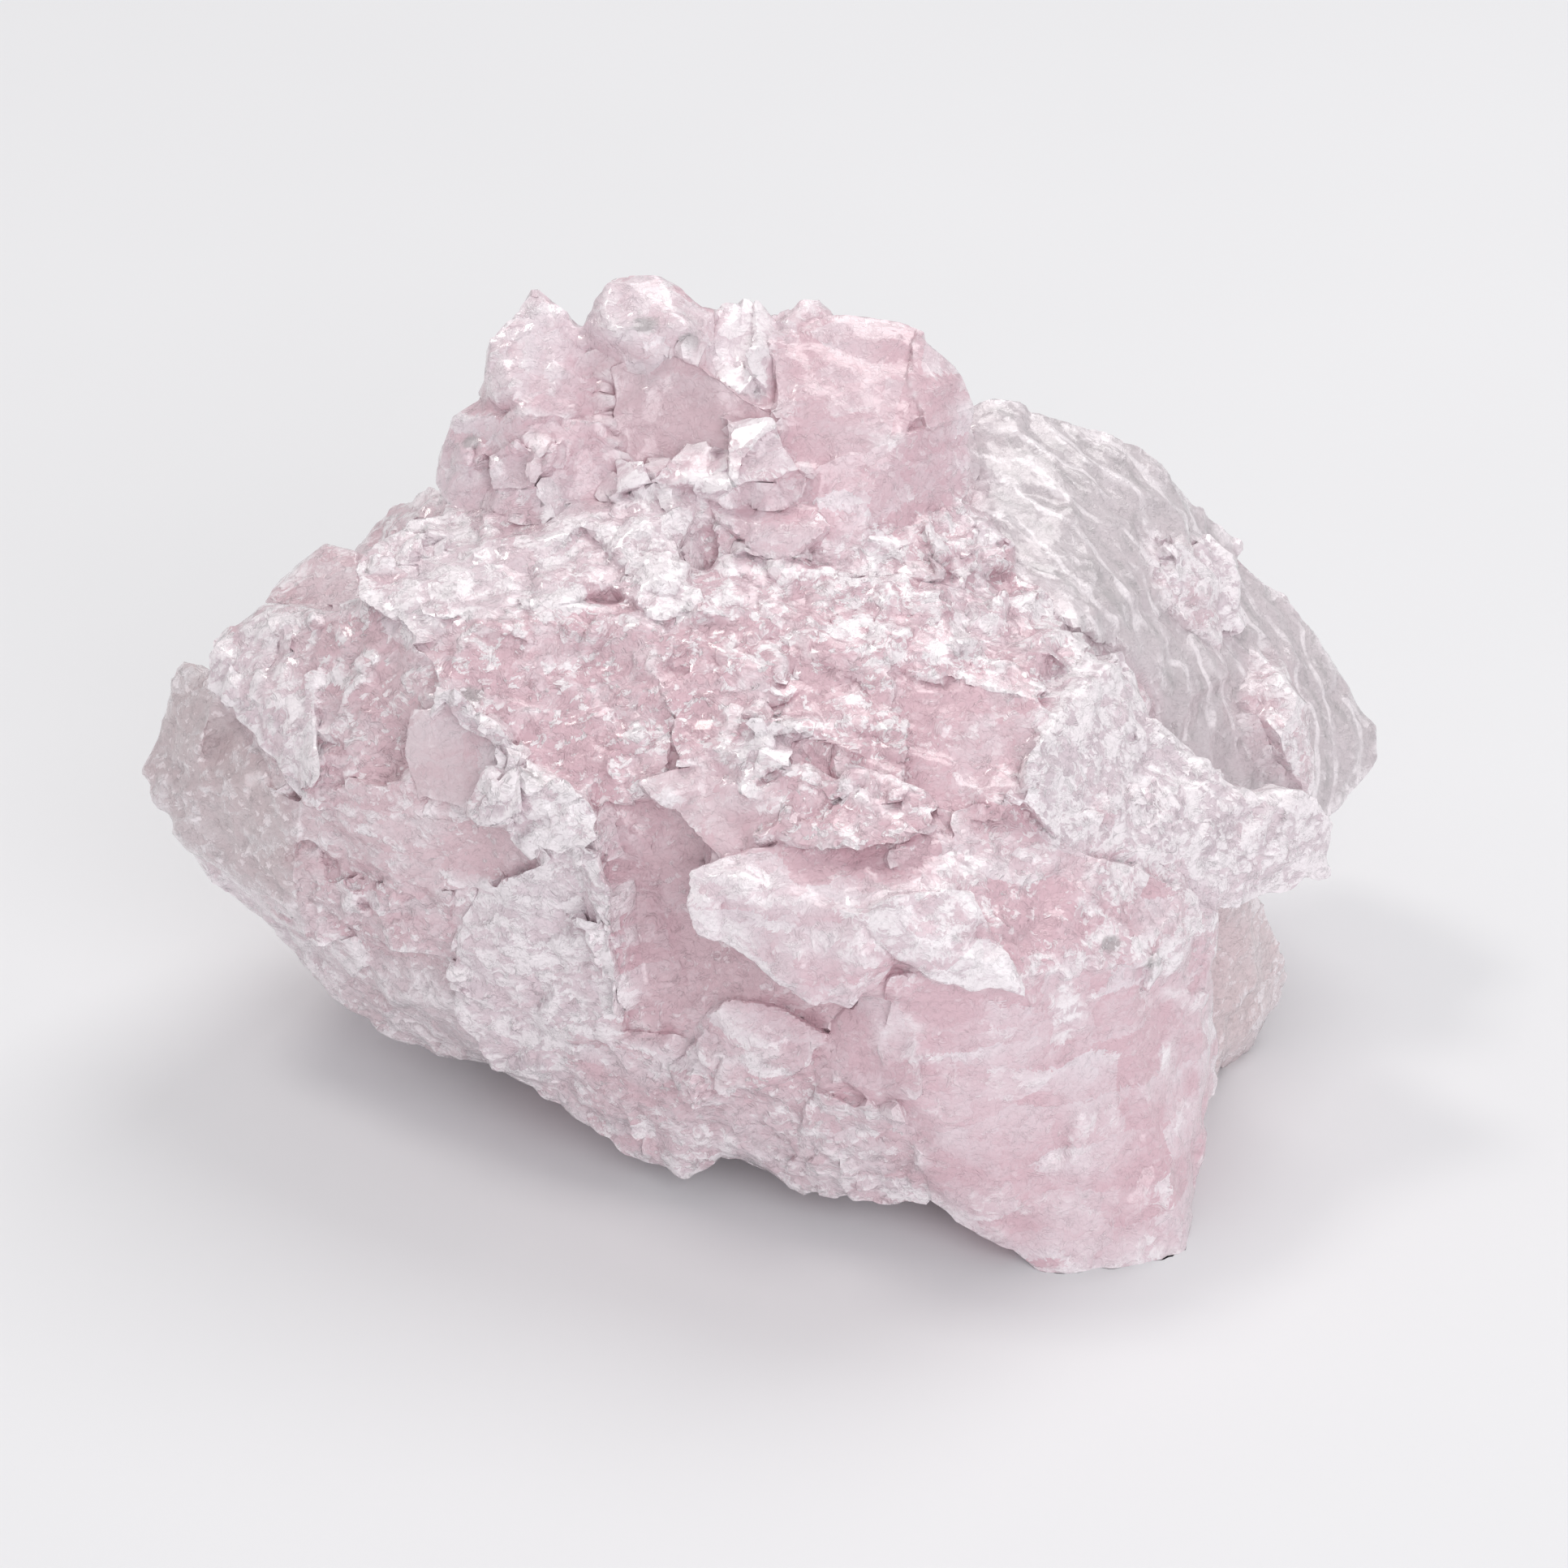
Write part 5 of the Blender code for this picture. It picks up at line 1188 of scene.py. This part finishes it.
def clear_colour(n, q):
    """Quartz without frost: from pale to deep rose by the blush and the play of the inner
    faces, with painted shade that is paler where the stone bulges and deeper pink in its hollows
    and creases, then greyed by smoke and browned by tea."""
    # Painted shade and glow: bulges paler, hollows and creases deeper pink.
    play = n.total((q.painted_glow, -0.6), (q.crease, 0.10), (q.veil_play, 0.8), (q.inner_slope, -1.3),
                   (q.inner_tone, 0.25), (q.shard_slope, -0.9), (q.tone, 0.20), (q.mottle_play, 1.0))
    play = n.times(play, n.ease(q.blush, 0.0, 0.5, 0.35, 1.0))
    blush = n.times(q.blush, n.ease(q.wide, 0.3, 0.7, 0.8, 1.15))
    depth = n.total((blush, 1.0), (q.deep, 0.7), (play, 1.0), clamp=True)
    body = n.blend(depth, PALE_ROSE, DEEP_ROSE)
    body = n.blend(n.times(q.smoke, n.ease(q.veil, 0.3, 0.7, 0.7, 1.0)), body, SMOKE_GREY)
    return n.blend(n.times(q.tea, n.ease(q.wide, 0.2, 0.8, 0.6, 1.0)), body, TEA_BROWN)


def darkened(n, q, body):
    """The troughs between the flank's waves, and the dark inclusions."""
    trough = n.times(n.ease(q.wave, 0.0, 0.22, 1.0, 0.0), n.ease(q.veil, 0.44, 0.58, 0.0, 0.5))
    body = n.blend(n.times(trough, q.on_flank), body, SMOKE_DARK)
    dark = n.ease(n.total((q.dark, 1.0), (q.mottle_play, 1.0)), 0.20, 0.80)
    return n.blend(n.times(dark, 0.80), body, SMOKE_DARK)


def painted_highlights_and_crests(n, q):
    """Where it is brightest: the most of the painted glints, bright cells that crowd where it is rough or
    bruised, of the painted highlights on the thin rims, and of the crests of the flank's waves."""
    crowd = n.total((q.rough, 0.10), (q.frost, 0.06), (q.veil_play, 0.9), (q.mottle_play, 0.7),
                    (q.ridge, 0.10), (q.white, 0.35))
    # Painted glints: a few bright cells turned near-white, as small faces catching the light.
    painted_glints = n.ease(n.sum("ADD", q.cell_tone, crowd), 0.92, 1.04)
    painted_glints = n.times(painted_glints, n.ease(q.rough, 0.1, 0.7, 0.10, 0.90))
    lines = n.times(n.ease(q.wave, 0.78, 0.98), n.ease(q.veil, 0.40, 0.58, 0.10, 0.85))
    lines = n.times(lines, q.on_flank)
    # The rims are painted highlights. The crests are lighter lines on the flank's waves.
    return n.sum("MAXIMUM", painted_glints, n.sum("MAXIMUM", n.times(q.rim, 0.65), lines))


def fine_grain(n, q):
    """The finest grain as bump: the little cells' slopes where it is rough, and the mottle."""
    bump = n.new("ShaderNodeBump")
    bump.inputs["Strength"].default_value = 0.9
    bump.inputs["Distance"].default_value = 1.0
    grain = n.times(q.cell_slope, n.ease(q.rough, 0.0, 0.7, SMOOTH_CELL_BUMP, CELL_BUMP))
    n.put(bump.inputs["Height"], n.total((grain, 1.0), (q.mottle, MOTTLE_BUMP)))
    return bump.outputs["Normal"]


def rose_quartz():
    """Rose quartz: pale translucent pink with milky veils, white where it is bruised, with
    painted glints on small faces, painted highlights on thin rims, a painted glow that is paler
    where it bulges and deeper pink in hollows and creases, grey ripples and a few dark inclusions."""
    n = Nodes("rose_quartz")
    q = QuartzLook(n)
    milk = milk_share(n, q)
    body = darkened(n, q, n.blend(milk, clear_colour(n, q), frost_colour(n, q)))
    bright = painted_highlights_and_crests(n, q)
    dull = n.total((n.ease(milk, 0.0, 1.0, 0.24, 0.32), 1.0), (n.ease(q.cell_tone, 0.60, 0.85), -0.18))
    through = n.times(q.clear, n.ease(bright, 0.0, 0.6, 1.0, 0.0))
    # The painted glints and rim highlights are blended in as near-white.
    n.finish("Base Color", n.blend(bright, body, FROST_WHITE))
    n.finish("Normal", fine_grain(n, q))
    n.finish("Roughness", n.sum("MAXIMUM", dull, 0.10))
    n.finish("Transmission Weight", n.ease(through, 0.55, 0.95, 0.0, 0.25))
    n.finish("Coat Weight", 1.0)
    n.finish("Coat Roughness", 0.09)
    n.finish("IOR", QUARTZ_IOR)
    return n.material


FLOOR_HALF = 1.6                            # half the floor's side, in metres
FLOOR_CLOUD = 40.0                          # the size of its unevenness, in millimetres
FLOOR_SHADE = (0.83, 0.83, 0.845, 1.0)
FLOOR_PALE = (0.86, 0.86, 0.875, 1.0)


def pale_floor():
    """Plain off-white surface with a little soft unevenness."""
    n = Nodes("pale_surface")
    n.finish("Base Color", n.blend(n.noise(FLOOR_CLOUD, 2.0, 0.5), FLOOR_SHADE, FLOOR_PALE))
    n.finish("Roughness", 0.55)
    n.finish("Specular IOR Level", 0.3)
    return n.material


# ---------------------------------------------------------------- the stone and its stage

def make_stone(mesh):
    """The finished stone, kept inside the plain solid's box and put in its place."""
    mark_edges(mesh)
    points = (read_points(mesh) - CENTRE) * MM
    low = np.array(CAD_LOW) + INSIDE_BOX
    high = np.array(CAD_HIGH) - INSIDE_BOX
    low[2] = 0.0
    set_points(mesh, np.clip(points, low, high))
    mesh.polygons.foreach_set("use_smooth", np.ones(len(mesh.polygons), bool))
    mesh.set_sharp_from_angle(angle=SHARP_ANGLE)
    mesh.materials.clear()
    mesh.materials.append(rose_quartz())
    mesh.name = "rose_quartz_surface"
    stone = bpy.data.objects.new("rose_quartz_surface", mesh)
    bpy.context.scene.collection.objects.link(stone)
    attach(stone, "root")
    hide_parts("rose_quartz_crystal")


def make_floor():
    """A wide flat surface under the stone."""
    points = FLOOR_HALF * np.array(((-1.0, -1.0, 0.0), (1.0, -1.0, 0.0), (1.0, 1.0, 0.0), (-1.0, 1.0, 0.0)))
    mesh = mesh_of("pale_surface", points, np.array(((0, 1, 2, 3),)), np.zeros((0, 3), int))
    mesh.materials.append(pale_floor())
    floor = bpy.data.objects.new("pale_surface", mesh)
    bpy.context.scene.collection.objects.link(floor)


def aim(obj, place, target):
    """Put a light or a camera at a place, looking at a target."""
    obj.location = place
    obj.rotation_euler = (Vector(target) - Vector(place)).to_track_quat("-Z", "Y").to_euler()


# Each light: its name, its place and size in metres, its watts and its colour.
LIGHTS = (
    ("overhead", (0.14, 0.20, 0.44), 0.30, 0.80, (1.0, 0.99, 0.98)),
    ("glint", (-0.22, 0.065, 0.445), 0.10, 0.36, (1.0, 0.97, 0.92)),
    ("window_front", (0.16, -0.46, 0.26), 0.40, 1.08, (0.98, 0.99, 1.0)),
)
LIGHT_TARGET = (0.0, 0.0, 0.015)
SKY_COLOUR = (0.98, 0.98, 1.0, 1.0)
SKY_STRENGTH = 0.52

CAMERA_TARGET = Vector((0.0008, -0.00016, 0.017))
CAMERA_AWAY = 0.25
CAMERA_TILT = math.radians(30.0)
CAMERA_LENS = 113.7
SENSOR_WIDTH = 36.0


def soft_light(name, place, size, watts, colour):
    """A square light turned to the stone."""
    data = bpy.data.lights.new(name, "AREA")
    data.shape = "SQUARE"
    data.size = size
    data.energy = watts
    data.color = colour
    light = bpy.data.objects.new(name, data)
    bpy.context.scene.collection.objects.link(light)
    aim(light, place, LIGHT_TARGET)


def make_lights():
    """A wide light overhead and behind, a small one at the left that the faces glint in, a
    wide one in front, and bright pale surroundings."""
    for light in LIGHTS:
        soft_light(*light)
    world = bpy.data.worlds.new("surroundings")
    world.use_nodes = True
    sky = world.node_tree.nodes["Background"]
    sky.inputs["Color"].default_value = SKY_COLOUR
    sky.inputs["Strength"].default_value = SKY_STRENGTH
    bpy.context.scene.world = world
    bpy.context.scene.view_settings.view_transform = "Standard"


def make_camera():
    """The view from the front, 30 degrees above the level."""
    data = bpy.data.cameras.new("view")
    data.lens = CAMERA_LENS
    data.sensor_width = SENSOR_WIDTH
    camera = bpy.data.objects.new("view", data)
    bpy.context.scene.collection.objects.link(camera)
    away = Vector((0.0, -math.cos(CAMERA_TILT), math.sin(CAMERA_TILT)))
    aim(camera, CAMERA_TARGET + CAMERA_AWAY * away, CAMERA_TARGET)
    bpy.context.scene.camera = camera


make_camera()
make_floor()
make_lights()
make_stone(shaped_skin(all_blocks()))
